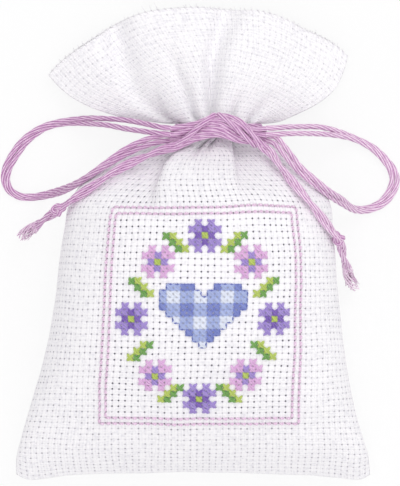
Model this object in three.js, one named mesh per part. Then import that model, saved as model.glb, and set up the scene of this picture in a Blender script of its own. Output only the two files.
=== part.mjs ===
// Lavender sachet: a filled bag of 18-count Aida cloth, gathered at the neck and tied with a doubled
// mauve cord in a bow, with cross stitch on its front. It lies on its back: +X runs across the bag,
// +Y from the bottom seam to the frill and +Z up through the stitched front. Sizes in millimetres.
import * as THREE from 'three';

// Cloth, thread and cord
const clothThickness = 0.7;
const fitGap = 0.3;
const seamThreadDiameter = 0.6;
const edgingDiameter = 0.7;
const cordDiameter = 1.15;
const tailDiameter = 2.0;
const stitchThickness = 0.5;
const backstitchWidth = 0.6;
const blocksPerInch = 18;
const blockPitch = 25.4 / blocksPerInch;

// Filled body, from the bottom seam to the tie. Each section gives its place as a share of the body's
// length, and shares of the sizes of the belly: its half width, the height of its side seams above the
// resting surface, and how far its front rises above the seams and its back drops below them. Its lean is
// a share of the neck's shift to one side.
const bodyLength = 76.4;
const bellyHalfWidth = 30.6;
const bellyRise = 21;
const bellyDrop = 15;
const bodyShares = [
  { at: 0, wide: 1.288, lean: 0, seam: 0.4, rise: 0.043, drop: 0.06 },
  { at: 0.065, wide: 1.242, lean: 0.018, seam: 0.533, rise: 0.31, drop: 0.367 },
  { at: 0.18, wide: 1.173, lean: 0.055, seam: 0.733, rise: 0.571, drop: 0.733 },
  { at: 0.38, wide: 1.062, lean: 0.127, seam: 0.933, rise: 0.881, drop: 0.933 },
  { at: 0.59, wide: 1, lean: 0.182, seam: 1, rise: 1, drop: 1 },
  { at: 0.73, wide: 0.967, lean: 0.2, seam: 1, rise: 1, drop: 1 },
  { at: 0.81, wide: 0.935, lean: 0.218, seam: 0.96, rise: 0.905, drop: 0.96 },
  { at: 0.87, wide: 0.833, lean: 0.273, seam: 0.9, rise: 0.738, drop: 0.787 },
  { at: 0.93, wide: 0.654, lean: 0.473, seam: 0.827, rise: 0.514, drop: 0.613 },
  { at: 0.975, wide: 0.431, lean: 0.727, seam: 0.76, rise: 0.343, drop: 0.467 },
];
const bottomNotch = 2.0;
const notchFade = 0.12;
const backFlatness = 1.25;
const edgeShare = 0.06;

// Gathered neck
const neckWidth = 17;
const neckDepth = 12;
const neckShift = 5.5;
const neckSeamHeight = 11;
const neckLength = 3.0;
const neckBunch = 3.2;
const gatherStart = 0.8;
const bunchStart = 0.9;

// Pleats below the tie: places across the cloth at the tie and where they run out, from 0 at the left seam
// to 1 at the right one, widths to the left and the right, depth as a share of the rise, and how far down
// the body they reach
const frontPleats = [
  { tied: 0.17, lower: 0.2, left: 0.05, right: 0.05, depth: 0.32, reach: 0.13 },
  { tied: 0.315, lower: 0.372, left: 0.12, right: 0.03, depth: 0.6, reach: 0.2 },
  { tied: 0.65, lower: 0.625, left: 0.035, right: 0.1, depth: 0.46, reach: 0.18 },
  { tied: 0.83, lower: 0.81, left: 0.05, right: 0.05, depth: 0.32, reach: 0.12 },
];
const backPleats = [
  { tied: 0.14, lower: 0.16, left: 0.05, right: 0.05, depth: 0.34, reach: 0.13 },
  { tied: 0.33, lower: 0.35, left: 0.05, right: 0.05, depth: 0.45, reach: 0.15 },
  { tied: 0.52, lower: 0.51, left: 0.05, right: 0.05, depth: 0.4, reach: 0.14 },
  { tied: 0.68, lower: 0.66, left: 0.05, right: 0.05, depth: 0.45, reach: 0.15 },
  { tied: 0.86, lower: 0.84, left: 0.05, right: 0.05, depth: 0.34, reach: 0.12 },
];

// Frill above the tie, which opens as a fan: its lengths and its directions from straight up
const frillLengths = { left: 30.6, middle: 26.8, right: 24.3 };
const frillTurns = { left: -68, middle: -6, right: 54 };
const frillSpring = 0.2;
const frillFlare = { left: 8, right: 4.5 };
const frillSeamHeight = 3.2;
const frillRise = 4.6;
const frillDrop = 2.0;
const foldBlend = 0.2;
const foldFloor = 0.05;

// Folds of the frill: start and end as shares of its length, place across the cloth, width to the left and
// the right, and depth at both as a share of the rise
const frontFolds = [
  { span: [0.2, 1], place: [0.01, 0.24], width: [0.04, 0.065], depth: [0.35, 0.85] },
  { span: [0, 0.5], place: [0.08, 0.25], width: [0.08, 0.035], depth: [0.95, 0] },
  { span: [0, 1], place: [0.44, 0.55], width: [0.035, 0.045], depth: [0.7, 0.48] },
  { span: [0, 0.45], place: [0.78, 0.82], width: [0.04, 0.05], depth: [0.65, 0] },
  { span: [0.45, 1], place: [0.8, 0.83], width: [0.07, 0.07], depth: [0, 0.35] },
];
const backFolds = [
  { span: [0, 1], place: [0.2, 0.24], width: [0.05, 0.05], depth: [0.7, 0.6] },
  { span: [0, 1], place: [0.52, 0.5], width: [0.045, 0.05], depth: [0.7, 0.6] },
  { span: [0, 1], place: [0.8, 0.78], width: [0.05, 0.05], depth: [0.7, 0.6] },
];
const frillWave = 0.7;
const frillWaves = 1.1;
const frillSettle = 0.7;
const bunchEnd = 0.35;

// Seams and filling, as shares of the body's length
const sideSeamSpan = [0.07, 0.84];
const bottomSeamPlace = 0.028;
const fillingSpan = [0.08, 0.86];
const fillingRows = 11;
const bottomSeamInsets = 5;

// Bow over the front of the neck
const bundleWidth = 5.2;
const bundleThickness = 2.6;
const bundleReach = 1.7;
const bundleLift = 0.8;
const bundleSag = 2.3;
const bundleEndDrop = 2.1;
const bundleRidges = 8;
const ridgeDepth = 0.09;
const wrapPlaces = [-0.42, 0.42];
const wrapTilt = 0.9;
const knotRadius = 0.95;
const knotStrand = 0.42;
const tasselFlare = 1.7;
const tasselWaist = { along: 0.55, flare: 0 };
const tasselShoulder = { along: 0.8, flare: 0.45 };

// Cord routes, from the bundle outwards, before the part is centred
const leftLoopOuter = [
  [-5.0, 78.0, 20.4], [-6.6, 78.1, 20.2], [-10.3, 78.9, 16.4], [-13.6, 79.6, 12.8], [-17.3, 80.2, 9.6],
  [-21.3, 80.6, 5.8], [-25.9, 80.6, 2.2], [-30.1, 80.2, 0.75], [-33.9, 79.1, 0.65], [-38.0, 76.2, 0.65],
  [-40.5, 72.9, 0.65], [-42.3, 69.4, 0.65], [-42.6, 66.8, 0.65], [-41.7, 64.3, 0.65], [-39.4, 62.6, 0.65],
  [-35.7, 62.4, 0.7], [-31.9, 63.3, 2.0], [-27.4, 65.7, 6.4], [-23.5, 68.2, 11.5], [-19.3, 71.1, 15.5],
  [-14.9, 73.8, 17.7], [-10.3, 75.1, 18.6], [-6.6, 75.4, 19.0], [-5.0, 75.4, 19.0],
];
const leftLoopInner = [
  [-5.0, 76.6, 20.4], [-6.6, 76.7, 20.3], [-10.5, 77.2, 17.6], [-14.4, 77.8, 14.0], [-18.6, 78.5, 10.0],
  [-22.4, 78.9, 6.0], [-26.2, 79.0, 2.4], [-29.8, 78.6, 0.8], [-33.0, 77.6, 0.65], [-36.8, 75.0, 0.65],
  [-39.2, 72.0, 0.65], [-40.8, 69.0, 0.65], [-41.1, 66.8, 0.65], [-40.4, 65.1, 0.65], [-38.7, 64.1, 0.65],
  [-35.6, 63.9, 0.7], [-32.3, 64.8, 2.0], [-28.1, 67.1, 6.4], [-24.2, 69.6, 11.4], [-20.0, 72.5, 15.4],
  [-15.5, 75.2, 17.3], [-10.6, 76.4, 18.6], [-6.6, 76.7, 19.0], [-5.0, 76.7, 19.0],
];
const rightLoopOuter = [
  [16.0, 78.0, 20.4], [17.6, 78.0, 20.2], [21.0, 78.3, 16.6], [24.4, 78.4, 12.6], [28.1, 78.4, 8.4],
  [32.3, 77.8, 4.0], [36.3, 76.6, 1.2], [40.5, 74.4, 0.65], [43.2, 71.8, 0.65], [45.1, 69.0, 0.65],
  [45.5, 66.5, 0.65], [44.6, 63.8, 0.65], [42.5, 61.2, 0.65], [39.5, 59.8, 0.8], [36.0, 59.7, 4.2],
  [32.6, 61.6, 12.0], [29.2, 63.8, 19.6], [25.9, 66.4, 22.6], [22.8, 69.2, 22.2], [20.2, 72.4, 20.8],
  [17.8, 75.0, 19.2], [16.0, 75.4, 19.0],
];
const rightLoopInner = [
  [16.0, 76.6, 20.4], [17.6, 76.6, 20.3], [21.0, 76.8, 17.6], [24.6, 76.9, 14.0], [28.3, 76.8, 9.6],
  [32.0, 76.2, 5.0], [35.8, 75.1, 1.8], [39.6, 73.1, 0.65], [42.0, 70.8, 0.65], [43.6, 68.5, 0.65],
  [44.0, 66.5, 0.65], [43.2, 64.4, 0.65], [41.5, 62.4, 0.65], [39.1, 61.3, 0.9], [36.4, 61.2, 4.4],
  [33.5, 63.0, 12.0], [30.2, 65.1, 19.0], [27.0, 67.6, 21.4], [23.9, 70.3, 21.0], [21.2, 73.5, 19.8],
  [18.4, 76.2, 19.0], [16.0, 76.7, 19.0],
];
const leftTailRoute = [
  [-5.0, 73.8, 20.2], [-6.6, 73.4, 20.5], [-9.8, 72.2, 21.4], [-13.6, 70.5, 22.4], [-17.8, 68.2, 23.4],
  [-21.5, 65.8, 23.9], [-25.1, 63.3, 22.9], [-28.4, 61.1, 20.0],
];
const rightTailRoute = [
  [16.0, 73.5, 20.6], [17.1, 72.6, 21.1], [18.8, 70.0, 22.9], [21.1, 67.0, 25.0], [23.9, 63.7, 26.6],
  [26.6, 60.4, 26.7], [28.8, 57.6, 25.2], [30.9, 55.0, 22.3],
];
const leftTasselTip = [-37.9, 54.5, 1.8];
const rightTasselTip = [35.4, 43.4, 1.8];
const loopSteps = 19;
const tailSteps = 12;

// Cross stitch, in blocks: gap from the heart to the wreath, how much taller than wide the wreath is, and
// distance from its middle line to the frame
const wreathGap = 1.5;
const wreathStretch = 2;
const frameCentreShare = 0.4665;
const frameShift = 2.3;
const wreathMargin = 5;
const flowerCount = 8;
const flowerRows = ['.#.#.', '#####', '.###.', '#####', '.#.#.'];
const leafRows = ['##..', '.##.', '..##'];
const heartRows = [
  '.####...####.',
  '######.######',
  '#############',
  '#############',
  '.###########.',
  '..#########..',
  '...#######...',
  '....#####....',
  '.....###.....',
  '......#......',
];

// Mesh fineness
const columns = 36;
const bodyRows = 17;
const frillRows = 9;
const cordSides = 8;
const threadSides = 6;
const sideSeamSteps = 14;
const bottomSeamSteps = 10;
const neckTurnSteps = 28;
const bundleSteps = 12;
const wrapSteps = 20;
const frameSteps = 12;
const knotSteps = 40;
const tasselSides = 10;
const rowCrowding = 0.6;

const clothLook = { color: 0xf6f4f8, roughness: 0.95, metalness: 0 };
const threadLook = { color: 0xf2f0ee, roughness: 0.8, metalness: 0 };
const cordLook = { color: 0xc68fcb, roughness: 0.7, metalness: 0 };
const fillingLook = { color: 0x6f6b98, roughness: 1, metalness: 0 };
const pinkLook = { color: 0xe0b0dc, roughness: 0.75, metalness: 0 };
const violetLook = { color: 0x8a72c4, roughness: 0.75, metalness: 0 };
const mauveLook = { color: 0xd3a2d6, roughness: 0.75, metalness: 0 };
const greenLook = { color: 0x6fae52, roughness: 0.75, metalness: 0 };
const blueLook = { color: 0x97a6da, roughness: 0.75, metalness: 0 };

const sachet = new THREE.Group();

function addPiece(name, geometry, look) {
  const piece = new THREE.Mesh(geometry, new THREE.MeshStandardMaterial(look));
  piece.name = name;
  sachet.add(piece);
  return piece;
}

function mix(from, to, share) {
  return from + (to - from) * share;
}

function fade(value, start, end) {
  return THREE.MathUtils.smoothstep(value, start, end);
}

// Closed solid between an outer and an inner grid of points, with walls round its four sides
function sheetSolid(outer, inner) {
  const rows = outer.length;
  const across = outer[0].length;
  const points = [...outer.flat(), ...inner.flat()];
  const top = (row, column) => row * across + column;
  const under = (row, column) => rows * across + top(row, column);
  const indices = [];
  const quad = (a, b, c, d) => indices.push(a, b, c, a, c, d);
  for (let row = 0; row + 1 < rows; row += 1) {
    for (let column = 0; column + 1 < across; column += 1) {
      quad(top(row, column), top(row, column + 1), top(row + 1, column + 1), top(row + 1, column));
      quad(under(row, column), under(row + 1, column), under(row + 1, column + 1), under(row, column + 1));
    }
    quad(top(row, 0), top(row + 1, 0), under(row + 1, 0), under(row, 0));
    const last = across - 1;
    quad(top(row + 1, last), top(row, last), under(row, last), under(row + 1, last));
  }
  for (let column = 0; column + 1 < across; column += 1) {
    const end = rows - 1;
    quad(top(0, column + 1), top(0, column), under(0, column), under(0, column + 1));
    quad(top(end, column), top(end, column + 1), under(end, column + 1), under(end, column));
  }
  const geometry = new THREE.BufferGeometry().setFromPoints(points);
  geometry.setIndex(indices);
  return geometry;
}

// Closed solid through a row of rings that all turn the same way, with a fan at each end
function ringSolid(rings) {
  const around = rings[0].length;
  const points = rings.flat();
  const indices = [];
  for (let ring = 0; ring + 1 < rings.length; ring += 1) {
    for (let corner = 0; corner < around; corner += 1) {
      const next = (corner + 1) % around;
      const a = ring * around + corner;
      const b = ring * around + next;
      indices.push(a, b, b + around, a, b + around, a + around);
    }
  }
  for (const [ring, start] of [[rings[0], 0], [rings.at(-1), (rings.length - 1) * around]]) {
    const middle = ring.reduce((sum, point) => sum.add(point), new THREE.Vector3()).divideScalar(around);
    const hub = points.push(middle) - 1;
    for (let corner = 0; corner < around; corner += 1) {
      const pair = [start + corner, start + ((corner + 1) % around)];
      if (start === 0) {
        pair.reverse();
      }
      indices.push(hub, ...pair);
    }
  }
  const geometry = new THREE.BufferGeometry().setFromPoints(points);
  geometry.setIndex(indices);
  return geometry;
}

function roundSection(diameter, sides) {
  const corners = [];
  for (let side = 0; side < sides; side += 1) {
    const turn = (2 * Math.PI * side) / sides;
    corners.push(new THREE.Vector2(Math.cos(turn), Math.sin(turn)).multiplyScalar(diameter / 2));
  }
  return new THREE.Shape(corners);
}

function cordAlong(points, diameter, steps, sides = cordSides) {
  const route = new THREE.CatmullRomCurve3(points, false, 'centripetal');
  return new THREE.ExtrudeGeometry(roundSection(diameter, sides), { steps, extrudePath: route });
}

function vectors(route) {
  return route.map((point) => new THREE.Vector3(...point));
}

// Sections of the body, with the neck as the last one
const neckSection = {
  at: 1,
  halfWidth: neckWidth / 2,
  shift: neckShift,
  seamHeight: neckSeamHeight,
  rise: neckDepth / 2,
  drop: neckDepth / 2,
};
const sectionFields = ['halfWidth', 'shift', 'seamHeight', 'rise', 'drop'];
const bodySections = bodyShares.map(({ at, wide, lean, seam, rise, drop }) => ({
  at,
  halfWidth: wide * bellyHalfWidth,
  shift: lean * neckShift,
  seamHeight: seam * bellyDrop,
  rise: rise * bellyRise,
  drop: drop * bellyDrop,
}));
const allSections = [...bodySections, neckSection];
const sectionCurve = new THREE.CubicInterpolant(
  allSections.map((section) => section.at),
  allSections.flatMap((section) => sectionFields.map((field) => section[field])),
  sectionFields.length,
  new Float64Array(sectionFields.length),
);

// Height that a fold leaves at one distance from its middle, as a share of the unfolded height
function valley(off, left, right, depth) {
  return depth * Math.exp(-((off / (off < 0 ? left : right)) ** 2));
}

function pleatShare(pleats, at, across) {
  let share = 1;
  for (const { tied, lower, left, right, depth, reach } of pleats) {
    const drawn = fade(at, 1 - reach, 1);
    share -= valley(across - mix(lower, tied, drawn), left, right, depth * drawn);
  }
  return share;
}

function foldShare(folds, along, across) {
  let share = 1;
  for (const { span, place, width, depth } of folds) {
    const inside = THREE.MathUtils.clamp((along - span[0]) / (span[1] - span[0]), 0, 1);
    const deep = mix(...depth, inside) * fade(along, span[0] - foldBlend, span[0]);
    share -= valley(across - mix(...place, inside), ...width, deep);
  }
  return Math.max(share, foldFloor);
}

function bodySection(at) {
  const values = Array.from(sectionCurve.evaluate(Math.min(at, 1)));
  const section = Object.fromEntries(sectionFields.map((field, index) => [field, values[index]]));
  section.bunch = neckBunch * fade(at, bunchStart, 1);
  section.flat = 1 - fade(at, 0, edgeShare);
  section.flatness = mix(backFlatness, 1, fade(at, gatherStart, 1));
  section.front = (across) => pleatShare(frontPleats, at, across);
  section.back = (across) => pleatShare(backPleats, at, across);
  return section;
}

function acrossAt(turn) {
  return 1 - turn / Math.PI;
}

// Heights of the front and back cloth over one point: outside, and inside the cloth
function frontHeights(section, turn) {
  const wall = clothThickness + section.bunch;
  const rise = section.rise * section.front(acrossAt(turn));
  const base = section.seamHeight + fitGap / 2;
  const edge = section.flat * clothThickness;
  const profile = Math.sin(turn);
  return {
    outer: base + edge + Math.max(0, rise - edge) * profile,
    inner: base + Math.max(0, rise - wall) * profile,
  };
}

function backHeights(section, turn) {
  const wall = clothThickness + section.bunch;
  const drop = section.drop * section.back(acrossAt(turn));
  const base = section.seamHeight - fitGap / 2;
  const edge = section.flat * clothThickness;
  const profile = Math.min(1, section.flatness * Math.sin(turn));
  return {
    outer: Math.max(0, base - edge - Math.max(0, drop - edge) * profile),
    inner: Math.max(clothThickness, base - Math.max(0, drop - wall) * profile),
  };
}

// Half width of a section inside the cloth
function innerHalfWidth(section) {
  return section.halfWidth - (1 - section.flat) * (clothThickness + section.bunch);
}

function bodyY(at, turn) {
  const notch = bottomNotch * Math.sin(turn) ** 2 * (1 - fade(at, 0, notchFade));
  return at * bodyLength + notch;
}

// One row of the body: outer and inner points for the front or the back
function bodyRow(at, heightsOf) {
  const section = bodySection(at);
  const row = { outer: [], inner: [] };
  for (let column = 0; column <= columns; column += 1) {
    const turn = Math.PI * (1 - column / columns);
    const heights = heightsOf(section, turn);
    const y = bodyY(at, turn);
    const outer = section.shift + section.halfWidth * Math.cos(turn);
    const inner = section.shift + innerHalfWidth(section) * Math.cos(turn);
    row.outer.push(new THREE.Vector3(outer, y, heights.outer));
    row.inner.push(new THREE.Vector3(inner, y, heights.inner));
  }
  return row;
}

function throughThree({ left, middle, right }, place) {
  return middle + ((right - left) / 2) * place + ((right + left) / 2 - middle) * place ** 2;
}

const neckTop = bodyLength + neckLength;

function frillSection(share, place) {
  const section = { ...neckSection, flatness: 1 };
  const settle = share ** frillSettle;
  section.seamHeight = mix(neckSeamHeight, frillSeamHeight, settle);
  section.seamHeight += frillWave * share * Math.sin(2 * Math.PI * frillWaves * place);
  section.rise = mix(neckSection.rise, frillRise, settle);
  section.drop = mix(neckSection.drop, frillDrop, settle);
  section.bunch = neckBunch * (1 - fade(share, 0, bunchEnd));
  section.flat = fade(share, 0, bunchEnd);
  section.front = (across) => foldShare(frontFolds, share, across);
  section.back = (across) => foldShare(backFolds, share, across);
  return section;
}

// Plan of the frill: a curve from the neck to the mouth edge, which leaves the neck level at the sides
function frillPlan(share, turn, startHalfWidth) {
  const place = 1 - (2 * turn) / Math.PI;
  const aim = THREE.MathUtils.degToRad(throughThree(frillTurns, place));
  const reach = throughThree(frillLengths, place);
  const root = new THREE.Vector2(neckShift + (neckWidth / 2) * Math.cos(turn), neckTop);
  const start = new THREE.Vector2(neckShift + startHalfWidth * Math.cos(turn), neckTop);
  const end = root.clone().add(new THREE.Vector2(Math.sin(aim), Math.cos(aim)).multiplyScalar(reach));
  const side = Math.abs(place) ** 3;
  const bend = root.clone().lerp(end, 0.5);
  bend.x += side * (place < 0 ? -frillFlare.left : frillFlare.right);
  bend.y = mix(bend.y, neckTop + frillSpring, side);
  return new THREE.QuadraticBezierCurve(start, bend, end).getPoint(share);
}

function frillRow(share, heightsOf) {
  const row = { outer: [], inner: [] };
  for (let column = 0; column <= columns; column += 1) {
    const turn = Math.PI * (1 - column / columns);
    const section = frillSection(share, 1 - (2 * turn) / Math.PI);
    const heights = heightsOf(section, turn);
    const outer = frillPlan(share, turn, section.halfWidth);
    const inner = frillPlan(share, turn, innerHalfWidth(section));
    row.outer.push(new THREE.Vector3(outer.x, outer.y, heights.outer));
    row.inner.push(new THREE.Vector3(inner.x, inner.y, heights.inner));
  }
  return row;
}

// Rows lie closer together near the bottom seam and near the neck
function bodyPlace(row) {
  const even = row / bodyRows;
  return mix(even, 0.5 - 0.5 * Math.cos(Math.PI * even), rowCrowding);
}

function panel(heightsOf) {
  const rows = [];
  for (let row = 0; row <= bodyRows; row += 1) {
    rows.push(bodyRow(bodyPlace(row), heightsOf));
  }
  for (let row = 0; row <= frillRows; row += 1) {
    rows.push(frillRow(row / frillRows, heightsOf));
  }
  return { outer: rows.map((row) => row.outer), inner: rows.map((row) => row.inner) };
}

function addPanels() {
  const front = panel(frontHeights);
  addPiece('front_panel', sheetSolid(front.outer, front.inner), clothLook);
  const back = panel(backHeights);
  const turned = (grid) => grid.map((row) => row.slice().reverse());
  addPiece('back_panel', sheetSolid(turned(back.outer), turned(back.inner)), clothLook);
}

// Overcast thread just past the mouth edge of each panel
function addEdging(name, heightsOf) {
  const route = [];
  for (let column = 0; column <= columns; column += 1) {
    const turn = Math.PI * (1 - column / columns);
    const section = frillSection(1, 1 - (2 * turn) / Math.PI);
    const heights = heightsOf(section, turn);
    const edge = frillPlan(1, turn, neckWidth / 2);
    const before = frillPlan(1 - 1 / frillRows, turn, neckWidth / 2);
    const out = edge.clone().sub(before).setLength(fitGap + edgingDiameter / 2);
    edge.add(out);
    route.push(new THREE.Vector3(edge.x, edge.y, (heights.outer + heights.inner) / 2));
  }
  addPiece(name, cordAlong(route, edgingDiameter, 2 * columns, threadSides), threadLook);
}

// Sewing threads run inside the bag, along the seams that join the two panels
const seamInset = clothThickness + fitGap + seamThreadDiameter / 2;

function addSideSeam(name, side) {
  const route = [];
  for (let step = 0; step <= sideSeamSteps; step += 1) {
    const at = mix(...sideSeamSpan, step / sideSeamSteps);
    const section = bodySection(at);
    const x = section.shift + side * (section.halfWidth - seamInset);
    route.push(new THREE.Vector3(x, at * bodyLength, section.seamHeight));
  }
  addPiece(name, cordAlong(route, seamThreadDiameter, sideSeamSteps, threadSides), threadLook);
}

function addBottomSeam() {
  const at = bottomSeamPlace;
  const section = bodySection(at);
  const span = section.halfWidth - bottomSeamInsets * seamInset;
  const route = [];
  for (let step = 0; step <= bottomSeamSteps; step += 1) {
    const x = mix(-span, span, step / bottomSeamSteps);
    const turn = Math.acos(x / section.halfWidth);
    route.push(new THREE.Vector3(section.shift + x, bodyY(at, turn), section.seamHeight));
  }
  const thread = cordAlong(route, seamThreadDiameter, bottomSeamSteps, threadSides);
  addPiece('bottom_seam_thread', thread, threadLook);
}

// Dried lavender, which fills the bag up to the shoulders
function addFilling() {
  const sideClear = 2 * fitGap + seamThreadDiameter;
  const rings = [];
  for (let row = 0; row <= fillingRows; row += 1) {
    const at = mix(...fillingSpan, row / fillingRows);
    const section = bodySection(at);
    const half = innerHalfWidth(section) - sideClear;
    const ring = [];
    for (let corner = 0; corner < 2 * columns; corner += 1) {
      const turn = (Math.PI * corner) / columns;
      const upper = frontHeights(section, turn).inner - 2 * fitGap;
      const lower = backHeights(section, 2 * Math.PI - turn).inner + 2 * fitGap;
      const height = turn <= Math.PI ? upper : lower;
      const level = corner % columns === 0 ? section.seamHeight : height;
      ring.push(new THREE.Vector3(section.shift + half * Math.cos(turn), bodyY(at, turn), level));
    }
    rings.push(ring.reverse());
  }
  addPiece('lavender_filling', ringSolid(rings), fillingLook);
}

// Two turns of the cord round the neck
const neckMiddle = bodyLength + neckLength / 2;

function addNeckTurn(name, side) {
  const away = fitGap + cordDiameter / 2;
  const y = neckMiddle + (side * (cordDiameter + fitGap)) / 2;
  const points = [];
  for (let step = 0; step < neckTurnSteps; step += 1) {
    const turn = (2 * Math.PI * step) / neckTurnSteps;
    const x = neckShift + (neckWidth / 2 + away) * Math.cos(turn);
    points.push(new THREE.Vector3(x, y, neckSeamHeight + (neckDepth / 2 + away) * Math.sin(turn)));
  }
  const ring = new THREE.CatmullRomCurve3(points, true);
  addPiece(name, new THREE.TubeGeometry(ring, neckTurnSteps, cordDiameter / 2, cordSides, true), cordLook);
}

// Bundle of strands that arches over the front of the neck, level at both ends
const bundleHalf = neckWidth / 2 + bundleReach;
const bundleTop = neckSeamHeight + neckDepth / 2 + 2 * cordDiameter + 4 * fitGap + bundleThickness / 2;

function bundlePoint(place) {
  const arch = (Math.cos(Math.PI * place) - 1) / 2;
  const x = neckShift + bundleHalf * place;
  return new THREE.Vector3(x, neckMiddle + bundleLift + bundleSag * arch, bundleTop + bundleEndDrop * arch);
}

function addBundle() {
  const points = [];
  for (let step = 0; step <= bundleSteps; step += 1) {
    points.push(bundlePoint(mix(-1, 1, step / bundleSteps)));
  }
  const corners = [];
  for (let corner = 0; corner < 3 * bundleRidges; corner += 1) {
    const turn = (2 * Math.PI * corner) / (3 * bundleRidges);
    const ridge = 1 - ridgeDepth * (0.5 + 0.5 * Math.cos(bundleRidges * turn));
    const wide = (bundleWidth / 2) * ridge * Math.cos(turn);
    const high = (bundleThickness / 2) * ridge * Math.sin(turn);
    corners.push({ wide, high });
  }
  const rings = points.map((point, index) => {
    const before = points[Math.max(0, index - 1)];
    const after = points[Math.min(points.length - 1, index + 1)];
    const level = index === 0 || index === points.length - 1;
    const along = level ? new THREE.Vector3(1, 0, 0) : after.clone().sub(before).normalize();
    const up = new THREE.Vector3(0, 0, 1).addScaledVector(along, -along.z).normalize();
    const aside = new THREE.Vector3().crossVectors(up, along);
    return corners.map(({ wide, high }) =>
      point.clone().addScaledVector(aside, wide).addScaledVector(up, high));
  });
  addPiece('bow_knot', ringSolid(rings), cordLook);
}

// Strand that wraps round the bundle and holds it
function addWrap(name, place, tilt) {
  const middle = bundlePoint(place);
  const step = 1 / bundleSteps;
  const along = bundlePoint(place + step).sub(bundlePoint(place - step)).normalize();
  const up = new THREE.Vector3(0, 0, 1).addScaledVector(along, -along.z).normalize();
  const aside = new THREE.Vector3().crossVectors(up, along);
  const away = fitGap + cordDiameter / 2;
  const points = [];
  for (let index = 0; index < wrapSteps; index += 1) {
    const turn = (2 * Math.PI * index) / wrapSteps;
    const point = middle.clone();
    point.addScaledVector(aside, (bundleWidth / 2 + away) * Math.cos(turn));
    point.addScaledVector(up, (bundleThickness / 2 + away) * Math.sin(turn));
    points.push(point.addScaledVector(along, tilt * Math.cos(turn)));
  }
  const ring = new THREE.CatmullRomCurve3(points, true);
  addPiece(name, new THREE.TubeGeometry(ring, wrapSteps, cordDiameter / 2, cordSides, true), cordLook);
}

// Tail of both strands, the knot on it and the frayed end beyond the knot
function addTail(side, route, tip) {
  const points = vectors(route);
  addPiece(`${side}_tail`, cordAlong(points, tailDiameter, tailSteps), cordLook);
  const end = points.at(-1);
  const heading = end.clone().sub(points.at(-2)).normalize();
  const knotHalf = 1.5 * knotRadius + knotStrand;
  const knotAt = end.clone().addScaledVector(heading, knotHalf + fitGap);
  const knot = addPiece(
    `${side}_end_knot`,
    new THREE.TorusKnotGeometry(knotRadius, knotStrand, knotSteps, threadSides),
    cordLook,
  );
  const sideways = new THREE.Vector3().crossVectors(heading, new THREE.Vector3(0, 0, 1)).normalize();
  knot.quaternion.setFromUnitVectors(new THREE.Vector3(0, 0, 1), sideways);
  knot.position.copy(knotAt);
  const tipPoint = new THREE.Vector3(...tip);
  const fall = tipPoint.clone().sub(knotAt).normalize();
  const length = tipPoint.distanceTo(knotAt) - knotHalf - fitGap;
  const thin = tailDiameter / 2;
  const profile = [
    new THREE.Vector2(0, 0),
    new THREE.Vector2(thin, 0),
    ...[tasselWaist, tasselShoulder].map(({ along, flare }) =>
      new THREE.Vector2(mix(thin, tasselFlare, flare), length * along)),
    new THREE.Vector2(tasselFlare, length),
    new THREE.Vector2(0, length),
  ];
  const tassel = addPiece(`${side}_tassel`, new THREE.LatheGeometry(profile, tasselSides), cordLook);
  tassel.quaternion.setFromUnitVectors(new THREE.Vector3(0, 1, 0), fall);
  tassel.position.copy(knotAt).addScaledVector(fall, knotHalf + fitGap);
}

function addBow() {
  addBundle();
  addWrap('knot_wrap_left', wrapPlaces[0], wrapTilt);
  addWrap('knot_wrap_right', wrapPlaces[1], -wrapTilt);
  const strands = {
    left_loop_outer_strand: leftLoopOuter,
    left_loop_inner_strand: leftLoopInner,
    right_loop_outer_strand: rightLoopOuter,
    right_loop_inner_strand: rightLoopInner,
  };
  for (const [name, route] of Object.entries(strands)) {
    addPiece(name, cordAlong(vectors(route), cordDiameter, loopSteps), cordLook);
  }
  addTail('left', leftTailRoute, leftTasselTip);
  addTail('right', rightTailRoute, rightTasselTip);
}

// Cross stitch on the front: a block's corner lies on the cloth at a whole number of pitches
const wreathWide = (heartRows[0].length + flowerRows[0].length) / 2 + wreathGap;
const wreathHigh = wreathWide + wreathStretch;
const frameColumns = 2 * (wreathWide + wreathMargin);
const frameRows = 2 * (wreathHigh + wreathMargin);
const frameMiddle = new THREE.Vector2(frameShift, frameCentreShare * bodyLength);

function onFront(x, y, above) {
  const section = bodySection(y / bodyLength);
  const turn = Math.acos(THREE.MathUtils.clamp((x - section.shift) / section.halfWidth, -1, 1));
  return new THREE.Vector3(x, y, frontHeights(section, turn).outer + above);
}

const padUnder = 1.5 * fitGap;
const padTop = padUnder + stitchThickness;

function blockCorner(column, row, above) {
  const x = frameMiddle.x + (column - 0.5) * blockPitch;
  const y = frameMiddle.y + (row - 0.5) * blockPitch;
  return onFront(x, y, above);
}

// Pad of stitches over the listed blocks, which share corners and meet side to side
function stitchedPad(blocks) {
  const has = new Set(blocks.map(([column, row]) => `${column},${row}`));
  const points = [];
  const known = new Map();
  const corner = (column, row, above) => {
    const key = `${column},${row},${above}`;
    if (!known.has(key)) {
      known.set(key, points.push(blockCorner(column, row, above)) - 1);
    }
    return known.get(key);
  };
  const indices = [];
  const quad = (a, b, c, d) => indices.push(a, b, c, a, c, d);
  for (const [column, row] of blocks) {
    const around = [[0, 0], [1, 0], [1, 1], [0, 1]].map(([x, y]) => [column + x, row + y]);
    quad(...around.map(([x, y]) => corner(x, y, padTop)));
    quad(...around.map(([x, y]) => corner(x, y, padUnder)).reverse());
    const beside = [[column, row - 1], [column + 1, row], [column, row + 1], [column - 1, row]];
    beside.forEach(([x, y], side) => {
      if (!has.has(`${x},${y}`)) {
        const from = around[side];
        const to = around[(side + 1) % 4];
        const under = [corner(...from, padUnder), corner(...to, padUnder)];
        quad(...under, corner(...to, padTop), corner(...from, padTop));
      }
    });
  }
  const geometry = new THREE.BufferGeometry().setFromPoints(points);
  geometry.setIndex(indices);
  return geometry;
}

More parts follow.
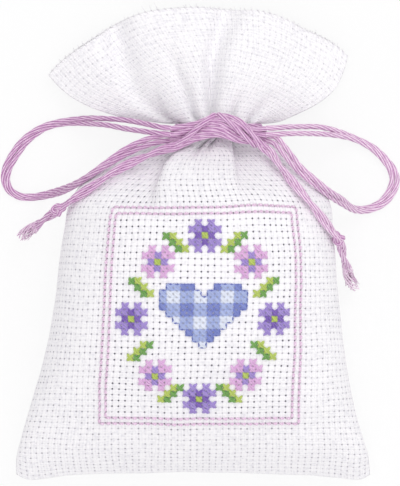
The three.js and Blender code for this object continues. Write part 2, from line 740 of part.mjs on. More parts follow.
function blocksOf(rows, column, row, flipX = 1, flipY = 1) {
  const blocks = [];
  const halfX = (rows[0].length - 1) / 2;
  const halfY = (rows.length - 1) / 2;
  rows.forEach((line, down) => {
    [...line].forEach((mark, along) => {
      if (mark === '#') {
        const x = Math.round(column + flipX * (along - halfX));
        blocks.push([x, Math.round(row + flipY * (halfY - down))]);
      }
    });
  });
  return blocks;
}

// Line of backstitch round a rectangle of blocks
function frameLine(halfColumns, halfRows) {
  const ring = (inset, above) => {
    const wide = halfColumns * blockPitch - inset;
    const high = halfRows * blockPitch - inset;
    const corners = [[-wide, -high], [wide, -high], [wide, high], [-wide, high]];
    const line = [];
    corners.forEach(([x, y], side) => {
      const [nextX, nextY] = corners[(side + 1) % 4];
      for (let step = 0; step < frameSteps; step += 1) {
        const atX = frameMiddle.x + mix(x, nextX, step / frameSteps);
        line.push(onFront(atX, frameMiddle.y + mix(y, nextY, step / frameSteps), above));
      }
    });
    return line;
  };
  const half = backstitchWidth / 2;
  const rings = [ring(-half, padUnder), ring(-half, padTop), ring(half, padUnder), ring(half, padTop)];
  const around = rings[0].length;
  const indices = [];
  const quad = (a, b, c, d) => indices.push(a, b, c, a, c, d);
  for (let step = 0; step < around; step += 1) {
    const next = (step + 1) % around;
    const at = (ringIndex, place) => ringIndex * around + place;
    quad(at(0, step), at(0, next), at(1, next), at(1, step));
    quad(at(1, step), at(1, next), at(3, next), at(3, step));
    quad(at(3, step), at(3, next), at(2, next), at(2, step));
    quad(at(2, step), at(2, next), at(0, next), at(0, step));
  }
  const geometry = new THREE.BufferGeometry().setFromPoints(rings.flat());
  geometry.setIndex(indices);
  return geometry;
}

// Rounds the same way on both sides of zero, so that the wreath stays symmetrical
function roundEvenly(value) {
  return Math.sign(value) * Math.round(Math.abs(value));
}

function addStitching() {
  addPiece('outer_frame_backstitch', frameLine(frameColumns / 2, frameRows / 2), pinkLook);
  addPiece('inner_frame_backstitch', frameLine(frameColumns / 2 - 1, frameRows / 2 - 1), pinkLook);
  addPiece('heart_stitching', stitchedPad(blocksOf(heartRows, 0, 0.5)), blueLook);
  for (let flower = 0; flower < flowerCount; flower += 1) {
    const turn = (2 * Math.PI * flower) / flowerCount;
    const column = roundEvenly(wreathWide * Math.cos(turn));
    const row = roundEvenly(wreathHigh * Math.sin(turn));
    const look = flower % 2 === 0 ? violetLook : mauveLook;
    addPiece(`flower_stitching_${flower + 1}`, stitchedPad(blocksOf(flowerRows, column, row)), look);
    const between = turn + Math.PI / flowerCount;
    const aside = wreathWide * Math.cos(between);
    const leafColumn = Math.sign(aside) * (Math.floor(Math.abs(aside)) + 0.5);
    const leafRow = roundEvenly(wreathHigh * Math.sin(between));
    const lean = -Math.sign(aside * leafRow);
    const leaf = blocksOf(leafRows, leafColumn, leafRow, lean, 1);
    addPiece(`leaf_stitching_${flower + 1}`, stitchedPad(leaf), greenLook);
  }
}

addPanels();
addEdging('front_mouth_edging', frontHeights);
addEdging('back_mouth_edging', backHeights);
addSideSeam('left_seam_thread', -1);
addSideSeam('right_seam_thread', 1);
addBottomSeam();
addFilling();
addNeckTurn('neck_turn_upper', 1);
addNeckTurn('neck_turn_lower', -1);
addBow();
addStitching();

// The origin lies under the middle of the bag, on the surface that it rests on
const bagBox = new THREE.Box3();
for (const piece of sachet.children) {
  if (!/loop|tail|tassel|end_knot/.test(piece.name)) {
    piece.updateMatrixWorld();
    bagBox.expandByObject(piece, true);
  }
}
const bagMiddle = bagBox.getCenter(new THREE.Vector3());
sachet.position.set(-bagMiddle.x, -bagMiddle.y, -bagBox.min.z);

export default sachet;
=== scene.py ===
import math

import bpy
import numpy as np
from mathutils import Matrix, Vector, noise


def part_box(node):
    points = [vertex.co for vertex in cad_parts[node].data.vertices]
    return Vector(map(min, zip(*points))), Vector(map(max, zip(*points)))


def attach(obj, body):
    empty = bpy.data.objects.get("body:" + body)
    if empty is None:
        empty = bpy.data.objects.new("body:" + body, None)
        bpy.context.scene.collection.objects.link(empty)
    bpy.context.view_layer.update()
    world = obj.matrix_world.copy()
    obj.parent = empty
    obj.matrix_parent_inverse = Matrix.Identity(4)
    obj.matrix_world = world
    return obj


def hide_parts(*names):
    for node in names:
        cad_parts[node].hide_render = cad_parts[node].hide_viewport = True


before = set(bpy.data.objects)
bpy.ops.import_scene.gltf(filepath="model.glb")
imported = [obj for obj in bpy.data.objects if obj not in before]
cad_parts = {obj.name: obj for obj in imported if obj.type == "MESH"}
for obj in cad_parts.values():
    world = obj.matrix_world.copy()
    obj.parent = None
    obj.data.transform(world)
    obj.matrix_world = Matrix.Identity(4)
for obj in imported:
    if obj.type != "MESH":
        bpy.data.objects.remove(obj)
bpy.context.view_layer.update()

MM = 0.001
SCENE = bpy.context.scene
BOTTOM_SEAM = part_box("front_panel")[0].y / MM
RANDOM = np.random.default_rng(18)
noise.seed_set(18)

# Camera, from the photograph's frame
IMAGE_HEIGHT = 486
PIXELS_PER_MM = 4.53
VIEW_CENTRE = (1.43, 52.76, 20.0)
CAMERA_DISTANCE = 1600.0
SENSOR = 36.0

# Cloth: its blocks, thickness and relief (less of it round closed holes), and places of points in a block
COLUMNS = 57
BODY_ROWS = 61
NECK_ROWS = 2
FRILL_ROWS = 21
CLOTH = 0.5
PIT_DEPTH = 0.36
EDGE_RELIEF, FACE_RELIEF, MIDDLE_RELIEF = -0.02, 0.03, 0.05
CLOSED_RELIEF = 0.2
SUBSTEPS = (0.0, 0.14, 0.5, 0.86)

# Cloth simulation: scale, steps, how far a point may move, above which share of the body and below which
# height it is held, between which shares it gains spare cloth and loses pressure, and Blender's settings
SETTLE_SCALE = 0.02
SETTLE_FRAMES = 20
SETTLE_CAP = 1.2
SETTLE_HELD_SHARE, SETTLE_HELD_HEIGHT = 0.985, 0.6
SETTLE_SPARE, SETTLE_PRESSED = (0.6, 0.9), (0.7, 0.88)
SETTLE_CLOTH = {
    "quality": 6, "mass": 0.2, "tension_stiffness": 60, "compression_stiffness": 60, "shear_stiffness": 8,
    "bending_stiffness": 0.6, "vertex_group_mass": "held", "vertex_group_shrink": "loose", "shrink_min": 0.0,
    "shrink_max": -0.05, "use_pressure": True, "uniform_pressure_force": 0.4, "vertex_group_pressure": "pressed",
}

# Small waves of the cloth: their spans, and their heights on the body and the frill
DRIFT_SPAN = 13.0
DRIFT_HEIGHTS = (0.45, 0.9)
RIPPLE_SPAN = 6.0
RIPPLE_HEIGHT = 0.14

# Filled body, a little wider low down than in the part: place along the body, half width, shift, seam
# height, rise and drop
BODY_LENGTH = 76.4
BODY_TABLE = np.array([
    (0.000, 39.5, -0.1, 6.0, 0.9, 0.9),
    (0.065, 39.0, -0.2, 8.0, 6.5, 5.5),
    (0.180, 36.4, -0.2, 11.0, 12.0, 11.0),
    (0.380, 32.8, 0.4, 14.0, 18.5, 14.0),
    (0.590, 30.7, 0.9, 15.0, 21.0, 15.0),
    (0.730, 29.6, 1.1, 15.0, 21.0, 15.0),
    (0.810, 28.6, 1.2, 14.4, 19.0, 14.4),
    (0.870, 25.5, 1.5, 13.5, 15.5, 11.8),
    (0.930, 20.0, 2.6, 12.4, 10.8, 9.2),
    (0.975, 13.2, 4.0, 11.4, 7.2, 7.0),
    (1.000, 8.5, 5.5, 11.0, 6.0, 6.0),
])
BOTTOM_NOTCH = 2.0
NOTCH_FADE = 0.12
BACK_FLATNESS = 1.25
CORNER_ROUND = 1.6

# Neck and frill
NECK_HALF = 8.5
NECK_SHIFT = 5.5
NECK_HEIGHT = 11.0
NECK_DEPTH = 6.0
NECK_TOP = BODY_LENGTH + 3.0
FRILL_LENGTHS = (31.3, 26.0, 25.3)
# A dip of the mouth: its place across the frill, its width and its depth
MOUTH_DIP = (-0.68, 0.2, 1.1)
FRILL_TURNS = (-70.0, -6.0, 54.0)
FRILL_FLARE = (4.8, 6.2)
FRILL_SPRING = 0.2
FRILL_SEAM_HEIGHT = 3.2
FRILL_RISE = 6.6
FRILL_DROP = 2.0
# How soon the frill sinks, the wave of its seams (height, and waves across) and its flattest fold
FRILL_SETTLE = 0.7
FRILL_WAVE = (0.7, 2.2)
FLATTEST_FOLD = 0.05

# Pleats below the tie: place across the cloth at the tie and lower down, widths to the left and the right,
# depth and how far down they reach
FRONT_PLEATS = (
    (0.170, 0.200, 0.050, 0.050, 0.32, 0.13),
    (0.315, 0.372, 0.110, 0.028, 0.85, 0.25),
    (0.447, 0.452, 0.016, 0.014, 0.62, 0.075),
    (0.495, 0.492, 0.014, 0.016, 0.55, 0.060),
    (0.650, 0.625, 0.030, 0.090, 0.65, 0.21),
    (0.830, 0.810, 0.050, 0.050, 0.32, 0.12),
)
BACK_PLEATS = (
    (0.140, 0.160, 0.050, 0.050, 0.34, 0.13),
    (0.330, 0.350, 0.050, 0.050, 0.45, 0.15),
    (0.520, 0.510, 0.050, 0.050, 0.40, 0.14),
    (0.680, 0.660, 0.050, 0.050, 0.45, 0.15),
    (0.860, 0.840, 0.050, 0.050, 0.34, 0.12),
)

# Folds of the frill: where they start and end as shares of its length, place across the cloth at both,
# width to the left and to the right, and depth at both
FRONT_FOLDS = (
    (0.10, 1.00, 0.08, 0.24, 0.034, 0.050, 0.55, 1.00),
    (0.00, 0.50, 0.08, 0.25, 0.080, 0.024, 0.95, 0.00),
    (0.00, 1.00, 0.44, 0.55, 0.028, 0.044, 0.72, 0.62),
    (0.00, 0.75, 0.32, 0.37, 0.030, 0.034, 0.62, 0.00),
    (0.00, 0.30, 0.60, 0.63, 0.030, 0.030, 0.50, 0.00),
    (0.00, 0.45, 0.78, 0.82, 0.040, 0.050, 0.65, 0.00),
    (0.45, 1.00, 0.80, 0.83, 0.070, 0.070, 0.00, 0.35),
)
BACK_FOLDS = (
    (0.00, 1.00, 0.20, 0.24, 0.050, 0.050, 0.70, 0.60),
    (0.00, 1.00, 0.52, 0.50, 0.045, 0.050, 0.70, 0.60),
    (0.00, 1.00, 0.80, 0.78, 0.050, 0.050, 0.70, 0.60),
    (0.00, 0.40, 0.36, 0.37, 0.035, 0.035, 0.50, 0.00),
    (0.00, 0.40, 0.66, 0.65, 0.035, 0.035, 0.50, 0.00),
)

# Cord
CORD = 1.25
CORD_PLIES = 6
CORD_SIDES = 30
PLY_LAY = 17.0
STRAND_LAY = 22.0
CORD_STEP = 0.4
# Loops: rolls of the strands about each other, place of their middle between both routes, and the shares of
# the way at which they are drawn together and let go
LOOP_ROLLS = {"left": 2.3, "right": 2.1}
LOOP_MIDDLE = 0.6
LOOP_DRAWN = ((0.12, 0.3), (0.86, 0.99))
LOOP_ROUTES = {
    "left_loop_outer_strand": (
        (-5.0, 78.0, 20.4), (-6.6, 78.1, 20.2), (-10.3, 78.9, 16.4), (-13.6, 79.6, 12.8),
        (-17.3, 80.2, 9.6), (-21.3, 80.6, 5.8), (-25.9, 80.6, 2.2), (-30.1, 80.2, 0.75),
        (-33.9, 79.1, 0.65), (-38.0, 76.2, 0.65), (-40.5, 72.9, 0.65), (-42.3, 69.4, 0.65),
        (-42.6, 66.8, 0.65), (-41.7, 64.3, 0.65), (-39.4, 62.6, 0.65), (-35.7, 62.4, 0.7),
        (-31.79, 63.12, 3.2), (-27.04, 64.69, 12.2), (-23.12, 67.01, 18.2), (-18.72, 69.91, 19.4),
        (-14.32, 72.61, 19.2), (-10.07, 74.54, 19.1), (-6.6, 75.4, 19.0), (-5.0, 75.4, 19.0),
    ),
    "left_loop_inner_strand": (
        (-5.0, 76.6, 20.4), (-6.6, 76.7, 20.3), (-10.5, 77.2, 17.6), (-14.4, 77.8, 14.0),
        (-18.6, 78.5, 10.0), (-22.4, 78.9, 6.0), (-26.2, 79.0, 2.4), (-29.8, 78.6, 0.8),
        (-33.0, 77.6, 0.65), (-36.8, 75.0, 0.65), (-39.2, 72.0, 0.65), (-40.8, 69.0, 0.65),
        (-41.1, 66.8, 0.65), (-40.4, 65.1, 0.65), (-38.7, 64.1, 0.65), (-35.6, 63.9, 0.7),
        (-32.19, 64.62, 3.2), (-27.74, 65.99, 12.2), (-23.62, 68.11, 17.8), (-19.32, 71.11, 18.8),
        (-14.92, 74.01, 18.8), (-10.37, 75.84, 19.0), (-6.6, 76.7, 19.0), (-5.0, 76.7, 19.0),
    ),
    "right_loop_outer_strand": (
        (16.0, 78.0, 20.4), (17.6, 78.0, 20.2), (21.0, 78.3, 16.6), (24.4, 78.4, 12.6),
        (28.1, 78.4, 8.4), (32.3, 77.8, 4.0), (36.3, 76.6, 1.2), (40.5, 74.4, 0.65),
        (43.2, 71.8, 0.65), (45.1, 69.0, 0.65), (45.5, 66.5, 0.65), (44.6, 63.8, 0.65),
        (42.5, 61.2, 0.65), (39.5, 59.8, 0.8), (35.96, 59.63, 4.2), (32.49, 61.46, 12.0),
        (29.02, 63.59, 19.6), (25.72, 66.19, 22.6), (22.62, 68.99, 22.2), (20.06, 72.23, 20.8),
        (17.73, 74.93, 19.2), (16.0, 75.4, 19.0),
    ),
    "right_loop_inner_strand": (
        (16.0, 76.6, 20.4), (17.6, 76.6, 20.3), (21.0, 76.8, 17.6), (24.6, 76.9, 14.0),
        (28.3, 76.8, 9.6), (32.0, 76.2, 5.0), (35.8, 75.1, 1.8), (39.6, 73.1, 0.65),
        (42.0, 70.8, 0.65), (43.6, 68.5, 0.65), (44.0, 66.5, 0.65), (43.2, 64.4, 0.65),
        (41.5, 62.4, 0.65), (39.1, 61.3, 0.9), (36.36, 61.13, 4.4), (33.4, 62.86, 12.0),
        (30.02, 64.89, 19.0), (26.82, 67.39, 21.4), (23.72, 70.09, 21.0), (21.06, 73.33, 19.8),
        (18.33, 76.13, 19.0), (16.0, 76.7, 19.0),
    ),
}
TAIL_ROUTES = {
    "left": (
        (-5.0, 73.8, 20.2), (-6.6, 73.4, 20.5), (-9.8, 72.2, 21.4), (-13.6, 70.5, 22.4),
        (-17.8, 68.2, 23.4), (-21.5, 65.8, 23.9), (-25.1, 63.3, 22.9), (-28.4, 61.1, 20.0),
    ),
    "right": (
        (16.0, 73.5, 20.6), (17.1, 72.6, 21.1), (18.8, 70.0, 22.9), (21.1, 67.0, 25.0),
        (23.9, 63.7, 26.6), (26.6, 60.4, 26.7), (28.8, 57.6, 25.2), (30.9, 55.0, 22.3),
    ),
}
# The right side of the bow is paler
PALE = {"left": 0.0, "right": 0.09}
TASSEL_TIPS = {"left": (-37.9, 54.5, 1.8), "right": (35.4, 43.4, 1.8)}
KNOT_RADIUS = 0.95
KNOT_STRAND = 0.62
KNOT_REACH = 1.845
KNOT_WIDE, KNOT_LONG, KNOT_HIGH = 0.34, 0.5, 0.62
KNOT_STEPS = 96
# Loose ends: radius of a strand and its distance from the tail's middle, where strands end, yarns start and
# yarns spread as shares of the way from knot to tip, and number, spread, radii and least height of threads
TAIL_STRAND = 0.47 * CORD
STRAND_OFF = 0.5
STRANDS_TO = 0.7
YARNS_FROM = 0.58
YARN_SPREAD = (0.5, 1.1)
YARN_RADII = (0.24, 0.16)
TASSEL_FIBRES = 36
TASSEL_SPREAD = (0.8, 1.65)
FIBRE_RADII = (0.1, 0.07)
LOWEST_YARN = 0.25
LOWEST_THREAD = 0.2


def mix(start, end, share):
    return start + (end - start) * share


def fade(value, start, end):
    share = np.clip((np.asarray(value, float) - start) / (end - start), 0, 1)
    return share * share * (3 - 2 * share)


def unit(vectors):
    return vectors / np.maximum(np.linalg.norm(vectors, axis=-1, keepdims=True), 1e-9)


def to_row(points):
    return (np.asarray(points, float) + (0.0, BOTTOM_SEAM, 0.0)) * MM


def hermite(share, start, end, leave, arrive):
    """A cubic from start to end with the given slopes, at a share of the way."""
    return ((2 * share**3 - 3 * share**2 + 1) * start + (share**3 - 2 * share**2 + share) * leave
            + (3 * share**2 - 2 * share**3) * end + (share**3 - share**2) * arrive)


def quads(index):
    """Faces between the neighbours in a grid of vertex numbers."""
    return np.stack([index[:-1, :-1], index[:-1, 1:], index[1:, 1:], index[1:, :-1]], axis=-1).reshape(-1, 4)


def lengths_along(points):
    return np.concatenate([[0], np.cumsum(np.linalg.norm(np.diff(points, axis=0), axis=1))])


def layered(*parts):
    """Arrays side by side in a new last axis."""
    return np.stack(np.broadcast_arrays(*parts), axis=-1)


# Materials


def new_material(name, roughness, sheen=0.0, specular=0.5):
    material = bpy.data.materials.new(name)
    material.use_nodes = True
    shader = material.node_tree.nodes["Principled BSDF"]
    shader.inputs["Roughness"].default_value = roughness
    shader.inputs["Sheen Weight"].default_value = sheen
    shader.inputs["Specular IOR Level"].default_value = specular
    return material, material.node_tree, shader


def add_node(tree, kind, settings=(), **inputs):
    node = tree.nodes.new(kind)
    for key, value in dict(settings).items():
        setattr(node, key, value)
    for key, value in inputs.items():
        socket = node.inputs[int(key[1:])] if key[1:].isdigit() else node.inputs[key.replace("_", " ")]
        if isinstance(value, bpy.types.NodeSocket):
            tree.links.new(value, socket)
        else:
            socket.default_value = value
    return node


def math_node(tree, operation, first, second=0.0):
    return add_node(tree, "ShaderNodeMath", {"operation": operation}, i0=first, i1=second).outputs[0]


def ramp(tree, factor, stops):
    node = add_node(tree, "ShaderNodeValToRGB", i0=factor)
    elements = node.color_ramp.elements
    while len(elements) < len(stops):
        elements.new(0.5)
    for element, (place, colour) in zip(elements, stops):
        element.position = place
        element.color = (*colour, 1.0)
    return node.outputs["Color"]


def bump(tree, shader, height, distance, strength=1.0):
    node = add_node(tree, "ShaderNodeBump", Height=height, Strength=strength, Distance=distance * MM)
    tree.links.new(node.outputs["Normal"], shader.inputs["Normal"])


def srgb(red, green, blue):
    values = np.array((red, green, blue)) / 255
    return tuple(np.where(values <= 0.04045, values / 12.92, ((values + 0.055) / 1.055) ** 2.4))


def attribute(tree, name):
    return add_node(tree, "ShaderNodeAttribute", {"attribute_name": name}).outputs["Vector"]


def stretched_noise(tree, place, stretch, rough=0.5):
    pulled = add_node(tree, "ShaderNodeVectorMath", {"operation": "MULTIPLY"}, i0=place, i1=stretch).outputs[0]
    return add_node(
        tree, "ShaderNodeTexNoise", Vector=pulled, Scale=1.0, Detail=3.0, Roughness=rough).outputs["Fac"]


FIBRE_STRETCH = (9.0, 9.0, 0.7)
WEAVE_STRETCHES = ((3.4, 0.7, 0.0), (0.7, 3.4, 0.0))
TONE_STOPS = (0.35, 0.6, 0.88)
FLOOR_GLOW = 0.85
SMOOTH = {"interpolation_type": "SMOOTHSTEP"}
COLOURS = {"data_type": "RGBA"}


def thread_material(name, *tones):
    """Cotton thread: fibre streaks that run along the lay of the strand, in tones from dark to light; the tones
    are darker in the valleys between plies as painted shade and lighter on the plies' crowns as a painted
    highlight.
    """
    material, tree, shader = new_material(name, 0.62, 0.15, 0.4)
    fibres = stretched_noise(tree, attribute(tree, "lay"), FIBRE_STRETCH, 0.6)
    ply_light, pale, _ = add_node(tree, "ShaderNodeSeparateXYZ", i0=attribute(tree, "rib")).outputs
    fibres_and_pale = math_node(tree, "ADD", math_node(tree, "MULTIPLY", fibres, 0.9), pale)
    # Painted shade and highlight: the ply light darkens the valleys between plies and lightens their crowns, and
    # the fibres and paleness add the thread's own tone.
    tone = math_node(tree, "ADD", math_node(tree, "MULTIPLY", ply_light, 0.3), fibres_and_pale)
    colour = ramp(tree, tone, [(stop, srgb(*colour)) for stop, colour in zip(TONE_STOPS, tones)])
    tree.links.new(colour, shader.inputs["Base Color"])
    bump(tree, shader, fibres, 0.08, 0.7)
    return material


def cloth_material(name):
    """Aida: blocks of four threads each way, with a hole at each block corner. Its holes and the grooves between
    blocks are darkened in the colour as painted shade.
    """
    material, tree, shader = new_material(name, 0.9, 0.12, 0.25)

    def step(operation, *values):
        return math_node(tree, operation, *values)

    flat = attribute(tree, "flat")
    column, row, width = add_node(tree, "ShaderNodeSeparateXYZ", i0=flat).outputs
    across, along = step("PINGPONG", column, 0.5), step("PINGPONG", row, 0.5)
    away = step("SQRT", step("ADD", step("MULTIPLY", across, across), step("MULTIPLY", along, along)))
    hole = add_node(
        tree, "ShaderNodeMapRange", SMOOTH, Value=away, From_Min=0.06, From_Max=0.21, To_Min=1.0, To_Max=0.0)
    opened = step("MULTIPLY", hole.outputs[0], width)
    # Painted shade: the grooves between blocks are darkened, more where the holes are more open.
    groove_shade = step("MINIMUM", step("MULTIPLY", width, 1.3), 0.7)
    seam = add_node(
        tree, "ShaderNodeMapRange", SMOOTH, Value=step("MINIMUM", across, along), From_Max=0.14,
        To_Min=step("SUBTRACT", 1.0, groove_shade))
    clouds = add_node(tree, "ShaderNodeTexNoise", Vector=flat, Scale=0.12, Detail=2.0).outputs["Fac"]
    threads = step("ADD", *(step("MULTIPLY", stretched_noise(tree, flat, way), 0.5) for way in WEAVE_STRETCHES))
    mottle = step("ADD", step("MULTIPLY", clouds, 0.12), step("MULTIPLY", threads, 0.88))
    plain = ramp(tree, mottle, ((0.38, srgb(235, 234, 239)), (0.52, srgb(252, 251, 253))))
    groove_shaded = add_node(
        tree, "ShaderNodeMix", COLOURS, i0=seam.outputs[0], i6=(*srgb(234, 231, 238), 1), i7=plain).outputs[2]
    # Painted shade: the holes at block corners are darkened towards a deep grey-violet, more the wider they are
    # open.
    hole_shaded = add_node(tree, "ShaderNodeMix", COLOURS, i0=opened, i6=groove_shaded, i7=(*srgb(58, 56, 76), 1))
    tree.links.new(hole_shaded.outputs[2], shader.inputs["Base Color"])
    warp, weft = (step("ABSOLUTE", step("SINE", step("MULTIPLY", way, math.tau))) for way in (column, row))
    bump(tree, shader, step("ADD", step("MULTIPLY", warp, weft), threads), 0.12, 0.6)
    return material


def floor_material():
    """Pale matt floor, which shows near white to the camera and still takes the shadow."""
    material, tree, shader = new_material("floor_matt", 0.95, 0.0, 0.1)
    grain = add_node(tree, "ShaderNodeTexNoise", Scale=40.0, Detail=2.0).outputs["Fac"]
    colour = ramp(tree, grain, ((0.3, (0.90, 0.90, 0.905)), (0.7, (0.92, 0.92, 0.925))))
    tree.links.new(colour, shader.inputs["Base Color"])
    rays = add_node(tree, "ShaderNodeLightPath").outputs
    seen = rays["Is Camera Ray"]
    for kind in ("Is Glossy Ray", "Is Transmission Ray"):
        seen = math_node(tree, "MAXIMUM", seen, rays[kind])
    glow = add_node(tree, "ShaderNodeEmission", Color=(1.0, 1.0, 1.0, 1.0), Strength=1.0).outputs[0]
    shown = math_node(tree, "MULTIPLY", seen, FLOOR_GLOW)
    both = add_node(tree, "ShaderNodeMixShader", i0=shown, i1=shader.outputs[0], i2=glow)
    tree.links.new(both.outputs[0], tree.nodes["Material Output"].inputs["Surface"])
    return material


# Thread tones run from dark to light: the spread is partly the fibres' own random tone and partly painted shade
# in ply valleys and a painted highlight on ply crowns.
LOOKS = {name: thread_material(name, *tones) for name, *tones in (
    ("mauve_cord", (152, 92, 149), (207, 158, 201), (250, 231, 246)),
    ("white_thread", (226, 224, 228), (240, 238, 242), (250, 249, 251)),
    ("pink_thread", (228, 190, 222), (242, 215, 238), (252, 238, 249)),
    ("violet_dark", (84, 58, 142), (112, 82, 172), (146, 118, 198)),
    ("violet_mid", (122, 98, 180), (150, 126, 202), (182, 162, 222)),
    ("mauve_thread", (188, 134, 194), (214, 165, 215), (234, 196, 232)),
    ("leaf_green", (46, 104, 48), (86, 148, 72), (140, 184, 104)),
    ("lime_thread", (136, 164, 52), (168, 192, 76), (200, 216, 122)),
    ("blue_dark", (82, 92, 168), (108, 120, 194), (146, 158, 214)),
    ("blue_mid", (134, 148, 208), (158, 172, 222), (188, 200, 234)),
    ("blue_light", (206, 214, 240), (222, 229, 246), (238, 242, 250)),
)}
CLOTH_LOOK = cloth_material("white_aida")


# Stage: each lamp has its place in metres, size, power and colour
LAMPS = {
    "key_lamp": ((0.27, 0.40, 0.60), 0.6, 1.5, (1.0, 0.99, 0.98)),
    "fill_lamp": ((-0.15, -0.6, 0.5), 0.7, 0.7, (1.0, 0.965, 0.95)),
    "front_lamp": ((-0.05, -0.1, 1.0), 0.5, 1.55, (1.0, 0.99, 0.995)),
}
LAMP_TARGET = (0.0, 0.0, 0.015)
SKY_COLOUR = (0.995, 0.988, 0.998, 1.0)
SKY_STRENGTH = 0.71
FLOOR_REACH = 6.0


def linked(name, data):
    obj = bpy.data.objects.new(name, data)
    SCENE.collection.objects.link(obj)
    return obj


def mesh_object(name, points, faces):
    mesh = bpy.data.meshes.new(name)
    mesh.from_pydata(points, [], faces)
    return linked(name, mesh), mesh


def add_camera():
    data = bpy.data.cameras.new("camera")
    data.sensor_width = SENSOR
    data.lens = SENSOR * CAMERA_DISTANCE / (IMAGE_HEIGHT / PIXELS_PER_MM)
    data.clip_start = 0.01
    data.clip_end = 20.0
    SCENE.camera = linked("camera", data)
    SCENE.camera.location = to_row(VIEW_CENTRE) + np.array((0.0, 0.0, CAMERA_DISTANCE * MM))


def add_lamp(name, place, size, power, colour):
    data = bpy.data.lights.new(name, "AREA")
    data.shape = "DISK"
    data.size = size
    data.energy = power
    data.color = colour
    lamp = linked(name, data)
    lamp.location = place
    lamp.rotation_mode = "QUATERNION"
    lamp.rotation_quaternion = (Vector(LAMP_TARGET) - lamp.location).to_track_quat("-Z", "Y")


def add_stage():
    for name, lamp in LAMPS.items():
        add_lamp(name, *lamp)
    world = bpy.data.worlds.new("studio")
    world.use_nodes = True
    background = world.node_tree.nodes["Background"]
    background.inputs["Color"].default_value = SKY_COLOUR
    background.inputs["Strength"].default_value = SKY_STRENGTH
    SCENE.world = world
    SCENE.view_settings.view_transform = "Standard"
    corners = [(x * FLOOR_REACH, y * FLOOR_REACH, 0) for x, y in ((-1, -1), (1, -1), (1, 1), (-1, 1))]
    floor, mesh = mesh_object("floor", corners, [(0, 1, 2, 3)])
    mesh.materials.append(floor_material())


# Meshes


def add_object(name, points, faces, materials, face_materials=None, attributes=(), uv=None):
    obj, mesh = mesh_object(name, to_row(points).tolist(), faces)
    for material in materials:
        mesh.materials.append(material)
    if face_materials is not None:
        mesh.polygons.foreach_set("material_index", np.asarray(face_materials, np.int32))
    mesh.polygons.foreach_set("use_smooth", np.ones(len(mesh.polygons), bool))
    for key, values in dict(attributes).items():
        layer = mesh.attributes.new(key, "FLOAT_VECTOR", "POINT")
        layer.data.foreach_set("vector", np.asarray(values, np.float32).ravel())
    if uv is not None:
        corners = np.empty(len(mesh.loops), np.int32)
        mesh.loops.foreach_get("vertex_index", corners)
        layer = mesh.uv_layers.new(name="OFBake")
        layer.data.foreach_set("uv", np.asarray(uv, np.float32)[corners].ravel())
    mesh.update()
    return obj


def sample(places, knots, points):
    """Points on a line at places between those of its knots."""
    return np.stack([np.interp(places, knots, points[:, axis]) for axis in range(3)], axis=1)


def evenly(points, count):
    """The same line with count points at even distances."""
    length = lengths_along(points)
    return sample(np.linspace(0, length[-1], count), length, points)


def full_turn(count):
    return np.linspace(0, math.tau, count, endpoint=False)


def curve_length(points):
    return float(np.linalg.norm(np.diff(points, axis=0), axis=1).sum())


def smooth_curve(points, spacing):
    """A centripetal Catmull-Rom curve through the points, in even steps of about that spacing."""
    knots = np.asarray(points, float)
    knots = np.vstack([2 * knots[0] - knots[1], knots, 2 * knots[-1] - knots[-2]])
    gaps = np.sqrt(np.linalg.norm(np.diff(knots, axis=0), axis=1))
    share = np.linspace(0, 1, 24, endpoint=False)[:, None]
    dense = []
    for index in range(1, len(knots) - 2):
        before, start, end, after = knots[index - 1:index + 3]
        gap0, gap1, gap2 = gaps[index - 1:index + 2]
        leave = gap1 * ((start - before) / gap0 - (end - before) / (gap0 + gap1)) + end - start
        arrive = gap1 * ((after - end) / gap2 - (after - start) / (gap1 + gap2)) + end - start
        dense.append(hermite(share, start, end, leave, arrive))
    dense = np.vstack([*dense, knots[-2]])
    return evenly(dense, max(4, int(curve_length(dense) / spacing) + 1))


def frames_along(path, closed=False):
    """Tangent, normal and side at each point, without needless turning."""
    if closed:
        tangents = unit(np.roll(path, -1, axis=0) - np.roll(path, 1, axis=0))
    else:
        tangents = unit(np.gradient(path, axis=0))
    helper = np.array((0.0, 0.0, 1.0)) if abs(tangents[0][2]) < 0.9 else np.array((1.0, 0.0, 0.0))
    normals = np.empty_like(path)
    normal = helper
    for index, tangent in enumerate(tangents):
        normal = normal - tangent * (normal @ tangent)
        normal = normal / np.linalg.norm(normal)
        normals[index] = normal
    return tangents, normals, np.cross(tangents, normals)


def ply_outline(plies, sides):
    """Radius, as a share of the strand's, round a section of plies that touch each other."""
    turns = np.arange(sides) * math.tau / sides
    if plies < 2:
        return turns, np.ones(sides)
    ply = math.sin(math.pi / plies) / (1 + math.sin(math.pi / plies))
    middle = 1 - ply
    off = np.abs((turns * plies / (math.tau) + 0.5) % 1 - 0.5) * math.tau / plies
    reach = middle * np.cos(off) + np.sqrt(np.maximum(ply**2 - (middle * np.sin(off))**2, 0))
    return turns, np.maximum(reach, 0.56)


END_STEP = 0.02
FIBRES_APART = 7.3


